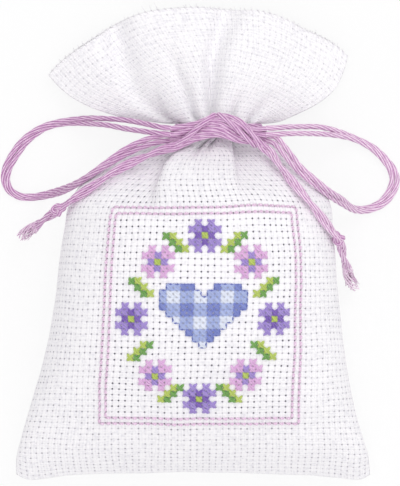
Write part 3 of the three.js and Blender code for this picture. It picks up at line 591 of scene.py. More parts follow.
class Strands:
    """Tubes that make one mesh. Each vertex keeps its place on its strand, so that fibres follow the lay."""

    def __init__(self):
        self.points, self.faces, self.looks, self.lay, self.rib, self.uv = ([] for _ in range(6))
        self.count = 0

    def add(self, path, radius, plies=1, sides=6, lay=0.0, look=0, closed=False, matched=False, pale=0.0):
        """Adds a tube along a path. A matched one comes out of its twist as it went in."""
        path = np.asarray(path, float)
        if not closed:
            ends = path[[0, -1]] + unit(path[[1, -2]] - path[[0, -1]]) * END_STEP
            path = np.vstack([path[:1], ends[:1], path[1:-1], ends[1:], path[-1:]])
            if np.ndim(radius):
                radius = np.concatenate([radius[:1], radius, radius[-1:]])
        steps = len(path)
        along = lengths_along(path)
        radius = np.broadcast_to(np.asarray(radius, float), steps)[:, None]
        turns, outline = ply_outline(plies, sides)
        _, normals, across = frames_along(path, closed)
        twist = math.tau * along / lay if lay else np.zeros(steps)
        if closed or matched:
            length = along[-1] + (np.linalg.norm(path[0] - path[-1]) if closed else 0)
            whole = round(plies * length / lay) / plies
            kept = normals[0] if closed else np.array((0.0, 0.0, 1.0))
            drift = math.atan2(kept @ across[-1], kept @ normals[-1])
            twist = along / length * (math.tau * whole + drift)
        angle = turns[None, :] + twist[:, None]
        reach = radius * outline[None, :]
        ring = (path[:, None] + (reach * np.cos(angle))[..., None] * normals[:, None]
                + (reach * np.sin(angle))[..., None] * across[:, None])
        first = FIBRES_APART * len(self.uv)
        fibre = layered(radius * np.cos(turns) + first, radius * np.sin(turns), along[:, None])
        # Painted light: points nearer a ply's crown get the lighter tones of the thread's colour and points in
        # the valleys between plies the darker ones; a single ply is all crown.
        ply_light = (outline - outline.min()) / max(np.ptp(outline), 1e-6) if plies > 1 else 1.0
        rib = layered(np.broadcast_to(ply_light, (steps, sides)), pale, 0.0)
        place = layered(np.arange(sides)[None, :] / sides, along[:, None] / max(along[-1], 1e-6))
        grid = self.count + np.arange(steps * sides).reshape(steps, sides)
        wrapped = np.hstack([grid, grid[:, :1]])
        faces = quads(np.vstack([wrapped, wrapped[:1]]) if closed else wrapped).tolist()
        hub = self.count + steps * sides
        self.count = hub
        kept = [part.reshape(-1, part.shape[-1]) for part in (ring, fibre, rib, place)]
        if not closed:
            faces += [[hub, wrapped[0, k + 1], wrapped[0, k]] for k in range(sides)]
            faces += [[hub + 1, wrapped[-1, k], wrapped[-1, k + 1]] for k in range(sides)]
            caps = path[[0, -1]], fibre[[0, -1], 0], rib[[0, -1], 0], ((0.5, 0.0), (0.5, 1.0))
            kept = [np.vstack(parts) for parts in zip(kept, caps)]
            self.count += 2
        self.faces += faces
        self.looks += [look] * len(faces)
        for store, part in zip((self.points, self.lay, self.rib, self.uv), kept):
            store.append(part)

    def piece(self, name, looks, slot, *nodes, body="bag"):
        """The piece that these strands make, with a cell of its map for each."""
        cells = math.ceil(math.sqrt(len(self.uv)))
        uv = [(np.array((index % cells, index // cells)) + 0.04 + 0.92 * place) / cells
              for index, place in enumerate(self.uv)]
        obj = add_object(
            name, np.vstack(self.points), self.faces, [LOOKS[look] for look in looks], self.looks,
            {"lay": np.vstack(self.lay), "rib": np.vstack(self.rib)}, np.vstack(uv))
        return stand_for(obj, body, slot, *nodes)


def stand_for(obj, body, slot, *nodes):
    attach(obj, body)
    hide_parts(*nodes)
    return obj


def beside(path, *offsets):
    """A path beside another one, by distances at angles round it that may change along it."""
    _, normals, across = frames_along(path)
    sideways = sum(reach * np.cos(turn) for reach, turn in offsets)
    upwards = sum(reach * np.sin(turn) for reach, turn in offsets)
    return path + sideways[:, None] * across + upwards[:, None] * normals


def keep_above(points, least):
    points[..., 2] = np.maximum(points[..., 2], least)


# Cords


def add_cord(name, body, nodes, paths, radius=CORD / 2, **kind):
    """Twisted cord along each path, as one piece."""
    strands = Strands()
    for path in paths:
        strands.add(path, radius, CORD_PLIES, CORD_SIDES, PLY_LAY, **kind)
    return strands.piece(name, ["mauve_cord"], "cord", *nodes, body=body)


def paired(outer, inner, rolls):
    """Two strands of a loop, drawn together and slowly rolled about each other away from the bow."""
    outer, inner = evenly(outer, len(outer)), evenly(inner, len(outer))
    share = np.linspace(0, 1, len(outer))
    middle, apart = mix(inner, outer, LOOP_MIDDLE), (outer - inner) / 2
    drawn = fade(share, *LOOP_DRAWN[0]) * (1 - fade(share, *LOOP_DRAWN[1]))
    reach = np.linalg.norm(apart, axis=1)
    aside = apart / reach[:, None]
    upwards = np.cross(unit(np.gradient(middle, axis=0)), aside)
    turn = drawn * np.sin(math.tau * rolls * share)
    near = mix(reach, 0.5 * CORD, drawn)
    off = near[:, None] * (np.cos(turn)[:, None] * aside + np.sin(turn)[:, None] * upwards)
    pair = [middle + off, middle - off]
    for line in pair:
        keep_above(line, CORD / 2 + 0.02)
    return pair


def add_loops():
    for side, rolls in LOOP_ROLLS.items():
        nodes = [f"{side}_loop_{kind}_strand" for kind in ("outer", "inner")]
        lines = paired(*(smooth_curve(LOOP_ROUTES[node], CORD_STEP) for node in nodes), rolls)
        for node, path in zip(nodes, lines):
            obj = add_cord(node + "_cord", side + "_loop", [node], [path], pale=PALE[side])


def knot_line(centre, heading):
    """An overhand knot as a closed trefoil whose flat side faces up."""
    turns = full_turn(KNOT_STEPS)
    sideways = unit(np.cross(heading, (0.0, 0.0, 1.0)))
    upwards = np.cross(sideways, heading)
    wide = KNOT_RADIUS * KNOT_WIDE * (np.sin(turns) + 2 * np.sin(2 * turns))
    long = KNOT_RADIUS * KNOT_LONG * (np.cos(turns) - 2 * np.cos(2 * turns))
    high = -KNOT_RADIUS * KNOT_HIGH * np.sin(3 * turns)
    return centre + wide[:, None] * sideways + long[:, None] * heading + high[:, None] * upwards


def add_tail(side, route, tip, pale):
    """Both strands of the cord's end, the overhand knot on them and the frayed tassel beyond it."""
    points, tip = np.array(route), np.array(tip)
    heading = unit(points[-1] - points[-2])
    knot = points[-1] + heading * (KNOT_REACH + 0.3)
    bend = mix(knot, tip, 0.5) + np.array((0.0, 0.0, 0.5))
    path = smooth_curve([*points, knot, bend, tip], CORD_STEP)
    along = lengths_along(path)
    knot_at = along[np.argmin(np.linalg.norm(path - knot, axis=1))]
    loose = (along - knot_at) / (along[-1] - knot_at)
    spread = fade(loose, *YARN_SPREAD)
    strands = Strands()

    def add_end(line, least, radii, **kind):
        keep_above(line, least)
        cut = len(line) - RANDOM.integers(0, 3)
        strands.add(line[:cut], mix(*radii, np.linspace(0, 1, cut)), **kind)

    for strand in range(2):
        turn = math.tau * (along / STRAND_LAY + strand / 2)
        part = beside(path, (STRAND_OFF, turn))[loose < STRANDS_TO]
        strands.add(part, TAIL_STRAND, CORD_PLIES, CORD_SIDES, PLY_LAY, pale=pale)
        for yarn in range(CORD_PLIES):
            lean = math.tau * (along / PLY_LAY + yarn / CORD_PLIES) + RANDOM.uniform(-0.4, 0.4) * spread
            reach = 0.3 + RANDOM.uniform(0.15, 0.85) * spread
            line = beside(path, (STRAND_OFF * (1 + spread), turn), (reach, lean))[loose > YARNS_FROM]
            add_end(line, LOWEST_YARN, YARN_RADII, pale=pale)
    frayed = path[loose > STRANDS_TO]
    share = fade(np.linspace(0, 1, len(frayed)), 0, 1.2)
    for _ in range(TASSEL_FIBRES):
        turn = RANDOM.uniform(0, math.tau)
        curl = turn + RANDOM.uniform(-0.8, 0.8) * share
        reach = math.sqrt(RANDOM.uniform(0.1, 1.0)) * mix(*TASSEL_SPREAD, share)
        add_end(beside(frayed, (reach, curl)), LOWEST_THREAD, FIBRE_RADII, sides=4)
    body = side + "_tail"
    obj = strands.piece(body + "_cord", ["mauve_cord"], "cord", body, side + "_tassel", body=body)
    tied_knot = add_cord(
        side + "_overhand_knot", body, [side + "_end_knot"], [knot_line(knot, heading)], KNOT_STRAND, closed=True)


add_camera()
add_stage()
add_loops()
for tail_side, tail_route in TAIL_ROUTES.items():
    add_tail(tail_side, tail_route, TASSEL_TIPS[tail_side], PALE[tail_side])

# Bow over the neck: each strand's left end, its places across and above the bundle's middle line, and its
# right end
NECK_MIDDLE = BODY_LENGTH + 1.5
BUNDLE_HALF = 10.2
BUNDLE_TOP = 21.8
BUNDLE_LIFT = 0.8
BUNDLE_SAG = 2.3
BUNDLE_DROP = 2.1
WRAP_WIDE, WRAP_HIGH = 2.35, 1.75
WRAP_STEPS, TURN_STEPS = 72, 160
TURN_GAP = 0.75
TURN_OFF = 0.72
BUNDLE_STRANDS = (
    ((-5.0, 78.0, 20.4), (1.5, 0.2), (2.1, 0.1), (1.8, 0.9), (15.7, 73.1, 20.8)),
    ((-5.0, 76.6, 20.4), (0.6, 0.6), (1.2, 0.7), (1.0, 1.5), (16.3, 73.9, 20.9)),
    ((-5.0, 76.7, 19.0), (0.7, -0.5), (0.3, 0.75), (0.0, 0.5), (16.0, 78.0, 20.4)),
    ((-5.0, 75.4, 19.0), (-0.3, 0.1), (-0.5, 0.6), (-0.7, 0.2), (16.0, 76.6, 20.4)),
    ((-5.1, 74.3, 20.2), (-1.1, 0.7), (-1.3, 0.5), (-1.5, 0.3), (16.0, 76.7, 19.0)),
    ((-4.9, 73.3, 20.2), (-1.9, 0.3), (-2.1, 0.1), (-2.3, -0.1), (16.0, 75.4, 19.0)),
    ((-5.0, 77.3, 19.3), (0.9, -0.6), (1.5, -0.6), (1.0, -0.4), (16.0, 77.3, 19.4)),
    ((-5.0, 75.8, 19.4), (-0.5, -0.7), (0.0, -0.6), (-0.4, -0.5), (16.0, 76.0, 19.6)),
    ((-5.0, 74.6, 19.4), (-1.5, -0.5), (-1.4, -0.5), (-1.4, -0.6), (16.0, 74.8, 19.6)),
)


def bundle_point(place, aside, above):
    arch = (math.cos(math.pi * place) - 1) / 2
    middle = np.array((
        NECK_SHIFT + BUNDLE_HALF * place,
        NECK_MIDDLE + BUNDLE_LIFT + BUNDLE_SAG * arch,
        BUNDLE_TOP + BUNDLE_DROP * arch,
    ))
    return middle + (0.0, aside, above)


def add_bundle():
    """Strands over the neck. They leave it level, as the loops do, and their plies run on into the loops."""
    level = np.array((1.5, 0.0, 0.0))
    paths = []
    for left, *spots, right in BUNDLE_STRANDS:
        middle = [bundle_point(place, *spot) for place, spot in zip((-0.5, 0.0, 0.5), spots)]
        path = smooth_curve([np.array(left) - level, left, *middle, right, np.array(right) + level], 0.35)
        paths.append(path[(path[:, 0] > left[0] - 0.2) & (path[:, 0] < right[0] + 0.2)])
    add_cord("bow_bundle", "bag", ["bow_knot"], paths, matched=True)


def add_wrap(node, place, lean):
    """Strand that goes once round the bundle, leaning along it."""
    ring = [
        bundle_point(place + lean * along / BUNDLE_HALF, WRAP_WIDE * along, WRAP_HIGH * above)
        for along, above in ((math.cos(turn), math.sin(turn)) for turn in full_turn(WRAP_STEPS))]
    add_cord(node + "_cord", "bag", [node], [ring], closed=True)


def add_neck_turn(node, side):
    turns = full_turn(TURN_STEPS)
    ring = layered(
        NECK_SHIFT + (NECK_HALF + TURN_GAP) * np.cos(turns), NECK_MIDDLE + side * TURN_OFF,
        NECK_HEIGHT + (NECK_DEPTH + TURN_GAP) * np.sin(turns))
    add_cord(node + "_cord", "bag", [node], [ring], closed=True)


add_bundle()
add_wrap("knot_wrap_left", -0.52, 4.3)
add_wrap("knot_wrap_right", 0.4, -4.0)
add_neck_turn("neck_turn_upper", 1)
add_neck_turn("neck_turn_lower", -1)


# Cloth


def body_section(at):
    """Half width, shift, seam height, rise and drop at a place along the body."""
    knots, values = BODY_TABLE[:, 0], BODY_TABLE[:, 1:]
    slopes = np.gradient(values, knots, axis=0)
    index = np.clip(np.searchsorted(knots, at) - 1, 0, len(knots) - 2)
    width = knots[index + 1] - knots[index]
    leave, arrive = slopes[index] * width, slopes[index + 1] * width
    return hermite((at - knots[index]) / width, values[index], values[index + 1], leave, arrive)


def through_three(values, place):
    left, middle, right = values
    return middle + (right - left) / 2 * place + ((right + left) / 2 - middle) * place**2


def fold(off, left, right):
    """Depth of a fold, as a share, at distances from its middle line."""
    return np.exp(-(off / np.where(off < 0, left, right))**2)


def cloth_height(side, seam, rise, drop, drawn, turn, flatness=1.0):
    if side > 0:
        return seam + rise * drawn * np.sin(turn)
    return np.maximum(CLOTH / 2, seam - drop * drawn * np.minimum(1, flatness * np.sin(turn)))


def body_line(at, side, dense):
    """One row of the body, from the left seam to the right one: side is 1 for the front, -1 for the back."""
    half, shift, seam, rise, drop = body_section(at)
    turn = math.pi * (1 - dense)
    drawn = np.ones_like(dense)
    for tied, lower, left, right, depth, reach in FRONT_PLEATS if side > 0 else BACK_PLEATS:
        pulled = fade(at, 1 - reach, 1.0)
        drawn -= depth * pulled * fold(dense - mix(lower, tied, pulled), left, right)
    x = shift + half * mix(1.0, drawn, 0.5) * np.cos(turn)
    rounding = CORNER_ROUND * np.clip((np.abs(np.cos(turn)) - 0.9) / 0.1, 0, 1)**2
    y = at * BODY_LENGTH + (BOTTOM_NOTCH * np.sin(turn)**2 + rounding) * (1 - fade(at, 0, NOTCH_FADE))
    flatness = mix(BACK_FLATNESS, 1, fade(at, 0.8, 1))
    return layered(x, y, cloth_height(side, seam, rise, drop, drawn, turn, flatness))


def frill_line(share, side, dense):
    """One row of the frill, at a share of its length from the tie to the mouth."""
    turn = math.pi * (1 - dense)
    place = 2 * dense - 1
    settle = share**FRILL_SETTLE
    drawn = np.ones_like(dense)
    for start, end, first, last, left, right, deep, far_deep in FRONT_FOLDS if side > 0 else BACK_FOLDS:
        inside = min(max((share - start) / (end - start), 0.0), 1.0)
        depth = mix(deep, far_deep, inside) * fade(share, start - 0.2, start)
        drawn -= depth * fold(dense - mix(first, last, inside), left, right)
    drawn = np.maximum(drawn, FLATTEST_FOLD)
    aim_at = np.radians(through_three(FRILL_TURNS, place))
    dip_place, dip_width, dip_depth = MOUTH_DIP
    length = through_three(FRILL_LENGTHS, place) - dip_depth * np.exp(-((place - dip_place) / dip_width)**2)
    root = layered(NECK_SHIFT + NECK_HALF * np.cos(turn), NECK_TOP)
    end = root + length[:, None] * layered(np.sin(aim_at), np.cos(aim_at))
    aside = np.abs(place)**3
    bend = (root + end) / 2
    bend[:, 0] += np.where(place < 0, -FRILL_FLARE[0], FRILL_FLARE[1]) * aside
    bend[:, 1] = mix(bend[:, 1], NECK_TOP + FRILL_SPRING, aside)
    plan = (1 - share)**2 * root + 2 * share * (1 - share) * bend + share**2 * end
    wave = FRILL_WAVE[0] * share * np.sin(FRILL_WAVE[1] * math.pi * place)
    seam = mix(NECK_HEIGHT, FRILL_SEAM_HEIGHT, settle) + wave
    rise, drop = mix(NECK_DEPTH, FRILL_RISE, settle), mix(NECK_DEPTH, FRILL_DROP, settle)
    return layered(*plan.T, cloth_height(side, seam, rise, drop, drawn, turn))


# Laying out the cloth: places along the body and points along a row, and how far rows follow the slope
BODY_PLACES = 400
ROW_POINTS = 481
SLOPE_SHARE = 0.45


def row_places():
    """Places of the body's rows: between even in plan and even along the cloth."""
    dense = np.linspace(0, 1, BODY_PLACES)
    height = np.array([body_section(at)[2:4].sum() for at in dense])
    slope = np.gradient(height, dense * BODY_LENGTH)
    spent = np.concatenate([[0], np.cumsum(np.sqrt(1 + SLOPE_SHARE * slope[1:]**2))])
    return np.interp(np.linspace(0, spent[-1], BODY_ROWS + 1), spent, dense)


def cloth_grid(side):
    """Block corners of one panel, row by row from the bottom seam, with even blocks along each row."""
    dense = np.linspace(0, 1, ROW_POINTS)
    lines = [body_line(at, side, dense) for at in row_places()]
    top = frill_line(0.0, side, dense)
    lines += [mix(lines[BODY_ROWS], top, step / NECK_ROWS) for step in range(1, NECK_ROWS)]
    lines += [frill_line(row / FRILL_ROWS, side, dense) for row in range(FRILL_ROWS + 1)]
    return np.array([evenly(line, COLUMNS + 1) for line in lines])


def normals_of(grid, side):
    """Outward normals of a grid of points."""
    return side * unit(np.cross(np.gradient(grid, axis=1), np.gradient(grid, axis=0)))


def refine(grid):
    """Adds points between block corners on smooth curves both ways, at the shares in SUBSTEPS."""
    for axis in (0, 1):
        grid = np.moveaxis(grid, axis, 0)
        first, last = 2 * grid[0] - grid[1], 2 * grid[-1] - grid[-2]
        padded = np.concatenate([first[None], grid, last[None]])
        before, start, end, after = padded[:-3], padded[1:-2], padded[2:-1], padded[3:]
        leave, arrive = (end - before) / 2, (after - start) / 2
        pieces = [hermite(share, start, end, leave, arrive) for share in SUBSTEPS]
        fine = np.stack(pieces, axis=1).reshape(-1, *grid.shape[1:])
        grid = np.moveaxis(np.concatenate([fine, grid[-1:]]), 0, axis)
    return grid


def block_relief(rows, columns):
    """Height of the cloth's face over its middle: puffed blocks, sunk edges and a pit at each corner."""
    steps = len(SUBSTEPS)
    down, right = (np.minimum(np.arange(count) % steps, -np.arange(count) % steps) for count in (rows, columns))
    near, far = np.minimum(down[:, None], right), np.maximum(down[:, None], right)
    relief = np.where(near == 0, EDGE_RELIEF, FACE_RELIEF)
    relief = np.where((near == 2) & (far == 2), MIDDLE_RELIEF, relief)
    return np.where(far == 0, -PIT_DEPTH, relief)


def add_panel(name, node, grid, side, opened):
    """Cloth with its weave outside and a plain face inside, joined along the edges."""
    fine, widened = refine(grid), refine(opened[..., None])[..., 0]
    rows, columns = fine.shape[:2]
    block_rows, block_columns = grid.shape[:2]
    relief = block_relief(rows, columns) * mix(CLOSED_RELIEF, 1.0, widened)
    outer = fine + normals_of(fine, side) * (CLOTH / 2 + relief)[..., None]
    inner = grid - normals_of(grid, side) * CLOTH / 2
    outer_index = np.arange(rows * columns).reshape(rows, columns)
    inner_index = rows * columns + np.arange(block_rows * block_columns).reshape(block_rows, block_columns)
    faces = quads(outer_index)[:, ::side].tolist() + quads(inner_index)[:, ::-side].tolist()
    steps = len(SUBSTEPS)
    for edge, under, way in (
            (outer_index[0], inner_index[0], 1), (outer_index[-1], inner_index[-1], -1),
            (outer_index[:, 0], inner_index[:, 0], -1), (outer_index[:, -1], inner_index[:, -1], 1)):
        for block in range(len(under) - 1):
            upper = edge[steps * block:steps * (block + 1) + 1][::-1]
            faces.append([*upper.tolist(), *under[block:block + 2].tolist()][::side * way])
    places = np.add.outer(np.arange(max(grid.shape)), SUBSTEPS).ravel()
    flat = layered(places[:columns], places[:rows, None], widened).reshape(-1, 3)
    inner_flat = layered(np.arange(block_columns) + 0.5, np.arange(block_rows)[:, None] + 0.5, 0.0).reshape(-1, 3)
    whole = np.array((block_columns, block_rows))
    uv = np.vstack([
        0.005 + flat[:, :2] / whole * (0.68, 0.98),
        (0.70, 0.005) + (inner_flat[:, :2] - 0.5) / whole * (0.29, 0.98),
    ])
    obj = add_object(
        name, np.vstack([outer.reshape(-1, 3), inner.reshape(-1, 3)]), faces, [CLOTH_LOOK], None,
        {"flat": np.vstack([flat, inner_flat])}, uv)
    return stand_for(obj, "bag", "cloth", node)


def settled(front, back):
    """The filled body after Blender's cloth has puffed it a little and crumpled it under the tie."""
    rows, columns = BODY_ROWS + 1, COLUMNS + 1
    upper = np.arange(rows * columns).reshape(rows, columns)
    lower = upper.copy()
    lower[:, 1:-1] = rows * columns + np.arange(rows * (columns - 2)).reshape(rows, columns - 2)
    points = np.vstack([front[:rows].reshape(-1, 3), back[:rows, 1:-1].reshape(-1, 3)])
    faces = np.vstack([quads(upper), quads(lower)[:, ::-1], quads(np.stack([lower[0], upper[0]]))])
    obj, mesh = mesh_object("settling", (points * SETTLE_SCALE).tolist(), faces.tolist())
    share = np.concatenate([np.repeat(np.arange(rows), count) for count in (columns, columns - 2)]) / BODY_ROWS
    held = ((share > SETTLE_HELD_SHARE) | (points[:, 2] < SETTLE_HELD_HEIGHT)).astype(float)
    held[np.concatenate([upper[0], lower[0], upper[:, 0], upper[:, -1]])] = 1.0
    groups = {"held": held, "loose": fade(share, *SETTLE_SPARE), "pressed": 1 - fade(share, *SETTLE_PRESSED)}
    for name, weights in groups.items():
        group = obj.vertex_groups.new(name=name)
        for index, weight in enumerate(weights.tolist()):
            group.add([index], weight, "REPLACE")
    modifier = obj.modifiers.new("cloth", "CLOTH")
    for key, value in SETTLE_CLOTH.items():
        setattr(modifier.settings, key, value)
    modifier.settings.effector_weights.gravity = 0
    modifier.collision_settings.use_collision = False
    modifier.point_cache.frame_end = SETTLE_FRAMES
    for step in range(1, SETTLE_FRAMES + 1):
        SCENE.frame_set(step)
    graph = bpy.context.evaluated_depsgraph_get()
    result = obj.evaluated_get(graph).to_mesh()
    moved = np.empty(len(points) * 3)
    result.vertices.foreach_get("co", moved)
    moved = moved.reshape(-1, 3) / SETTLE_SCALE - points
    obj.evaluated_get(graph).to_mesh_clear()
    SCENE.frame_set(1)
    bpy.data.objects.remove(obj)
    bpy.data.meshes.remove(mesh)
    far = np.linalg.norm(moved, axis=1)
    moved *= (SETTLE_CAP * np.tanh(far / SETTLE_CAP) / np.maximum(far, 1e-9))[:, None]
    front, back = front.copy(), back.copy()
    front[:rows] += moved[upper]
    back[:rows] += moved[lower]
    keep_above(back, CLOTH / 2)
    return front, back


def wandered(grid):
    """Small waves of the cloth, and rows of weave that don't run quite straight, except near the tie."""
    row = np.arange(len(grid))
    drift, ripple = (
        np.array([noise.noise_vector(Vector(point) / span) for point in grid.reshape(-1, 3)]).reshape(grid.shape)
        for span in (DRIFT_SPAN, RIPPLE_SPAN))
    height = mix(*DRIFT_HEIGHTS, fade(row, BODY_ROWS + 2, BODY_ROWS + 10))[:, None, None]
    free = (1 - fade(row, BODY_ROWS - 6, BODY_ROWS - 2)) + fade(row, BODY_ROWS + 3, BODY_ROWS + 8)
    grid = grid + (height * drift + RIPPLE_HEIGHT * ripple) * free[:, None, None]
    keep_above(grid, CLOTH / 2)
    return grid


FRONT, BACK = cloth_grid(1), cloth_grid(-1)
FRONT, BACK = settled(FRONT, BACK)
FRONT, BACK = wandered(FRONT), wandered(BACK)
SEAM_LINE = (FRONT[0] + BACK[0]) / 2
SEAM_APART = np.array((0.0, 0.0, 0.3 * CLOTH))
FRONT[0], BACK[0] = SEAM_LINE + SEAM_APART, SEAM_LINE - SEAM_APART

# Cross stitch: the frame's size and the motifs, in whole blocks
FRAME_COLUMNS = 31
FRAME_ROWS = 35
FRAME_HEIGHT = 35.64
MIDDLE_COLUMN = 29
MIDDLE_ROW = int(np.argmin(np.abs(FRONT[:BODY_ROWS, MIDDLE_COLUMN, 1] - FRAME_HEIGHT)))
FLOWER_COUNT = 8
WREATH = (FRAME_COLUMNS / 2 - 5, FRAME_ROWS / 2 - 5)
FLOWER = (".#.#.", "#####", ".#o#.", "#####", ".#.#.")
LEAF = ("##..", ".##.", "..##")
HEART = (
    ".####...####.",
    "######.######",
    "#############",
    "#############",
    ".###########.",
    "..#########..",
    "...#######...",
    "....#####....",
    ".....###.....",
    "......#......",
)


# Holes: how far open away from the stitches (on the body and on the frill), inside the frame and on the back,
# where both meet in blocks up and across from the middle, and how much single ones differ
PLAIN_HOLES = (0.42, 0.2)
STITCHED_HOLES = 0.95
BACK_HOLES = (0.1, 0.26)
HOLES_UP, HOLES_ACROSS = (14, 20), (14, 18)
UPPER_HOLES = 0.8
HOLE_RANGE = (0.35, 1.35)

# Stitches: places along one, its height over the cloth there as shares of its lift, and its taper
STITCH_PLACES = np.array((0.0, 0.08, 0.22, 0.4, 0.6, 0.78, 0.92, 1.0))
STITCH_ARCH = np.array((-1.2, 0.1, 0.8, 1.0, 1.0, 0.8, 0.1, -1.2))
STITCH_TAPER = np.array((0.4, 0.6, 0.9, 1.0, 1.0, 0.9, 0.6, 0.4))
CROSS_LIFTS = (0.22, 0.46)
CROSS_ASIDE = 0.2
CROSS_WOBBLE = 0.04
CROSS_RADIUS = 0.21
BACK_LIFT = 0.24
BACK_WOBBLE = 0.03
BACK_LAY = 1.2
FRAME_RADIUS, FRAME_GAP = 0.38, 0.1
OUTLINE_RADIUS = 0.25


def frame_line(inset):
    half_columns, half_rows = FRAME_COLUMNS // 2 - inset, FRAME_ROWS // 2 - inset
    left, right = MIDDLE_COLUMN - half_columns, MIDDLE_COLUMN + half_columns + 1
    low, high = MIDDLE_ROW - half_rows, MIDDLE_ROW + half_rows + 1
    line = [(column, low) for column in range(left, right)]
    line += [(right, row) for row in range(low, high)]
    line += [(column, high) for column in range(right, left, -1)]
    line += [(left, row) for row in range(high, low - 1, -1)]
    return line


def opened_holes():
    """How open each hole of the front is, which sets the depth of its pit and how much painted shade darkens it:
    the needle has widened those inside the frame.
    """
    rows, columns = FRONT.shape[:2]
    above = np.arange(rows) - MIDDLE_ROW - 0.5
    down = np.where(above > 0, UPPER_HOLES * above, -above)[:, None]
    right = np.abs(np.arange(columns) - MIDDLE_COLUMN - 0.5)[None, :]
    inside = (1 - fade(down, *HOLES_UP)) * (1 - fade(right, *HOLES_ACROSS))
    pulled = RANDOM.uniform(*HOLE_RANGE, (rows, columns))
    plain = mix(*PLAIN_HOLES, fade(np.arange(rows), BODY_ROWS - 4, BODY_ROWS + 6))[:, None]
    opened = np.minimum(1.0, mix(plain, STITCHED_HOLES, inside) * pulled)
    for column, row in frame_line(0) + frame_line(1):
        opened[row, column] = 1.0
    return opened


front_panel = add_panel("front_cloth", "front_panel", FRONT, 1, opened_holes())
back_panel = add_panel("back_cloth", "back_panel", BACK, -1, RANDOM.uniform(*BACK_HOLES, BACK.shape[:2]))
FACE_NORMALS = normals_of(FRONT, 1)
FACE = FRONT + FACE_NORMALS * CLOTH / 2


def round_evenly(value):
    return int(math.copysign(math.floor(abs(value) + 0.5), value))


def cells_of(rows, column, row, flip=1):
    """Cells of a motif whose middle lies at a block, with the mark of each."""
    half_x, half_y = (len(rows[0]) - 1) / 2, (len(rows) - 1) / 2
    cells = {}
    for down, line in enumerate(rows):
        for along, mark in enumerate(line):
            if mark != ".":
                x = math.floor(column + flip * (along - half_x) + 0.5)
                y = math.floor(row + half_y - down + 0.5)
                cells[MIDDLE_COLUMN + x, MIDDLE_ROW + y] = mark
    return cells


def stitch_path(start, end, lift, aside=0.0, short=0.0):
    """A stitch from one hole to another, which comes up, lies over the cloth and goes down again."""
    first, last = FACE[start[1], start[0]], FACE[end[1], end[0]]
    up = unit(FACE_NORMALS[start[1], start[0]] + FACE_NORMALS[end[1], end[0]])
    side = unit(np.cross(up, last - first))
    bow = np.sqrt(np.sin(math.pi * STITCH_PLACES))
    return (mix(first, last, mix(short, 1 - short, STITCH_PLACES)[:, None]) + (STITCH_ARCH * lift)[:, None] * up
            + (aside * bow)[:, None] * side)


def cross_stitch(strands, cell, look):
    column, row = cell
    corners = ((column, row), (column + 1, row + 1)), ((column + 1, row), (column, row + 1))
    for (start, end), lift in zip(corners, CROSS_LIFTS):
        for aside in (-CROSS_ASIDE, CROSS_ASIDE):
            wobble = RANDOM.uniform(-CROSS_WOBBLE, CROSS_WOBBLE)
            strands.add(stitch_path(start, end, lift + wobble / 2, aside + wobble), CROSS_RADIUS, look=look)


def back_stitch(strands, line, radius=OUTLINE_RADIUS, short=0.0):
    for start, end in zip(line[:-1], line[1:]):
        path = stitch_path(start, end, BACK_LIFT + RANDOM.uniform(-BACK_WOBBLE, BACK_WOBBLE), short=short)
        strands.add(path, radius * STITCH_TAPER, 2, 8, BACK_LAY)


def add_frames():
    for node, inset in (("outer_frame_backstitch", 0), ("inner_frame_backstitch", 1)):
        strands = Strands()
        back_stitch(strands, frame_line(inset), FRAME_RADIUS, FRAME_GAP)
        strands.piece(node + "_thread", ["pink_thread"], "pink_thread", node)


def outline_edges(cells):
    """Block edges round a group of cells."""
    edges = []
    for column, row in cells:
        corners = [(column, row), (column + 1, row), (column + 1, row + 1), (column, row + 1), (column, row)]
        around = (column, row - 1), (column + 1, row), (column, row + 1), (column - 1, row)
        edges += [corners[k:k + 2] for k, other in enumerate(around) if other not in cells]
    return edges


def add_heart():
    """Heart in gingham: two-block checks, darkest where both stripes cross."""
    cells = cells_of(HEART, 0, 0.5)
    strands = Strands()
    for column, row in cells:
        stripes = (column // 2 % 2) + (row // 2 % 2)
        cross_stitch(strands, (column, row), 2 - stripes)
    for edge in outline_edges(cells):
        back_stitch(strands, edge)
    strands.piece("heart_stitches", ["blue_dark", "blue_mid", "blue_light"], "blue_thread", "heart_stitching")


# Slot, petals and inner petals of the two kinds of flower
FLOWER_LOOKS = (("violet_thread", "violet_mid", "violet_dark"), ("mauve_thread", "mauve_thread", "violet_mid"))


def add_wreath():
    for flower in range(FLOWER_COUNT):
        turn = math.tau * flower / FLOWER_COUNT
        place = [round_evenly(WREATH[0] * math.cos(turn)), round_evenly(WREATH[1] * math.sin(turn))]
        slot, *petals = FLOWER_LOOKS[flower % 2]
        strands = Strands()
        for (column, row), mark in cells_of(FLOWER, *place).items():
            inner = abs(column - MIDDLE_COLUMN - place[0]) + abs(row - MIDDLE_ROW - place[1]) < 2
            cross_stitch(strands, (column, row), 2 if mark == "o" else int(inner))
        node = f"flower_stitching_{flower + 1}"
        strands.piece(node + "_threads", [*petals, "lime_thread"], slot, node)
        between = turn + math.pi / FLOWER_COUNT
        aside = WREATH[0] * math.cos(between)
        leaf_column = math.copysign(math.floor(abs(aside)) + 0.5, aside)
        leaf_row = round_evenly(WREATH[1] * math.sin(between))
        lean = -1 if aside * leaf_row > 0 else 1
        strands = Strands()
        for index, cell in enumerate(cells_of(LEAF, leaf_column, leaf_row, lean)):
            cross_stitch(strands, cell, index % 2)
        node = f"leaf_stitching_{flower + 1}"
        strands.piece(node + "_threads", ["leaf_green", "lime_thread"], "green_thread", node)


add_frames()
add_heart()
add_wreath()


# Edges, seams and filling

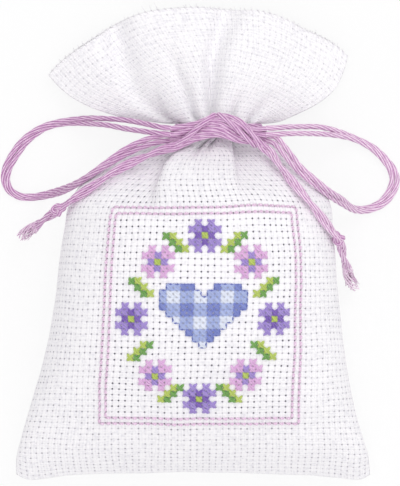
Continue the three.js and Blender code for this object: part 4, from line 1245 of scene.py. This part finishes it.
# Overcast thread: how far inside the edge its middle lies, its reach out and up, its radius and its steps to
# a block. Frayed ends: how many blocks have one, their lengths, sway and radii, and the longer ones of a tuft
OVERCAST_INSIDE = 0.25
OVERCAST_REACH = (0.42, 0.4)
OVERCAST_RADIUS = 0.11
OVERCAST_STEPS = 12
FRAYED_SHARE = 0.4
FRAYED_LENGTHS = (0.3, 0.9)
FRAYED_SWAY = 0.35
FRAYED_RADII = (0.09, 0.05)
FRAYED_STEPS = 5
FRAYED_TUFT = (21, 22, 23)
TUFT_LENGTH = 1.2
# Seam thread: radius, lay, distance inside the side seams, their rows, and the bottom one's row and ends
SEAM_RADIUS = 0.28
SEAM_LAY = 2.4
SEAM_STEP = 0.6
SEAM_INSIDE = np.array((1.3, 0.0, 0.0))
SIDE_SEAM = slice(6, BODY_ROWS - 12)
BOTTOM_SEAM_ROW, BOTTOM_SEAM_COLUMNS = 2, slice(5, -5)
# Filling: rows and columns that it takes up, its depth under the cloth, and the size and depth of its lumps
FILLED_ROWS = range(5, BODY_ROWS - 9)
FILLED_COLUMNS = slice(2, -2)
FILLED_INSIDE = 1.0
LUMP_SPAN, SWELL_SPAN = 2.2, 2.4
LUMP_DEPTHS = (0.35, 0.25, 0.2)


def add_edging(name, node, grid, side, tuft=()):
    """Overcast thread round the cut edge, with short ends of frayed thread and a few long ones at a tuft."""
    edge = grid[-1]
    out = unit(edge - grid[-2])
    blocks = np.linspace(0, COLUMNS, COLUMNS * OVERCAST_STEPS + 1)
    middle, outwards, upwards = (
        sample(blocks, np.arange(COLUMNS + 1), values) for values in (edge, out, normals_of(grid, side)[-1]))
    turn = math.tau * blocks[:, None]
    path = (middle - OVERCAST_INSIDE * outwards + OVERCAST_REACH[0] * np.cos(turn) * outwards
            + OVERCAST_REACH[1] * np.sin(turn) * upwards)
    keep_above(path, LOWEST_THREAD)
    strands = Strands()
    strands.add(path, OVERCAST_RADIUS, 1, 5)
    share = np.linspace(0, 1, FRAYED_STEPS)[:, None]
    for column in range(1, COLUMNS):
        if RANDOM.uniform() < FRAYED_SHARE or column in tuft:
            length = RANDOM.uniform(*FRAYED_LENGTHS) + (TUFT_LENGTH if column in tuft else 0.0)
            sway = RANDOM.uniform(-FRAYED_SWAY, FRAYED_SWAY)
            across = unit(edge[column + 1] - edge[column - 1])
            hair = edge[column] + length * share * out[column] + sway * share**2 * across
            keep_above(hair, LOWEST_THREAD)
            strands.add(hair, np.linspace(*FRAYED_RADII, FRAYED_STEPS), 1, 4)
    return strands.piece(name, ["white_thread"], "sewing_thread", node)


def add_seams():
    lines = {
        "left_seam_thread": FRONT[SIDE_SEAM, 0] + SEAM_INSIDE,
        "right_seam_thread": FRONT[SIDE_SEAM, -1] - SEAM_INSIDE,
        "bottom_seam_thread": (FRONT + BACK)[BOTTOM_SEAM_ROW, BOTTOM_SEAM_COLUMNS] / 2,
    }
    for node, line in lines.items():
        strands = Strands()
        strands.add(smooth_curve(line, SEAM_STEP), SEAM_RADIUS, 2, 10, SEAM_LAY)
        strands.piece(node + "_sewn", ["white_thread"], "sewing_thread", node)


def bud_material():
    material, tree, shader = new_material("dried_lavender", 0.95, 0.0, 0.2)
    place = add_node(tree, "ShaderNodeTexCoord").outputs["Object"]
    buds = add_node(tree, "ShaderNodeTexVoronoi", Vector=place, Scale=420.0).outputs["Color"]
    tones = (0.2, srgb(88, 80, 128)), (0.55, srgb(120, 110, 160)), (0.85, srgb(128, 132, 104))
    tree.links.new(ramp(tree, buds, tones), shader.inputs["Base Color"])
    bump(tree, shader, buds, 0.5)
    return material


def add_filling():
    """Dried buds as one lumpy mass just inside the cloth."""
    top, low = (grid - normals_of(grid, side) * FILLED_INSIDE for grid, side in ((FRONT, 1), (BACK, -1)))
    least, swelling, lumping = LUMP_DEPTHS
    rings = []
    for row in FILLED_ROWS:
        ring = np.vstack([top[row, FILLED_COLUMNS], low[row, FILLED_COLUMNS][::-1]])
        lumps = np.array([noise.cell_vector(Vector(point) / LUMP_SPAN).x for point in ring])
        swell = np.array([noise.noise(Vector(point) / SWELL_SPAN) for point in ring])
        inwards = least + swelling * swell + lumping * lumps
        rings.append(ring + unit(ring.mean(axis=0) - ring) * inwards[:, None])
    rings = np.array(rings)
    steps, around = rings.shape[:2]
    grid = np.arange(steps * around).reshape(steps, around)
    wrapped = np.hstack([grid, grid[:, :1]])
    faces = np.roll(quads(wrapped), -1, axis=1).tolist()
    hubs = steps * around
    faces += [[hubs, *wrapped[0, k:k + 2].tolist()] for k in range(around)]
    faces += [[hubs + 1, *wrapped[-1, k:k + 2][::-1].tolist()] for k in range(around)]
    points = np.vstack([rings.reshape(-1, 3), rings[0].mean(axis=0), rings[-1].mean(axis=0)])
    obj = add_object("lavender_buds", points, faces, [bud_material()])
    stand_for(obj, "bag", "lavender", "lavender_filling")


front_edging = add_edging("front_overcast", "front_mouth_edging", FRONT, 1, FRAYED_TUFT)
back_edging = add_edging("back_overcast", "back_mouth_edging", BACK, -1)
add_seams()
add_filling()
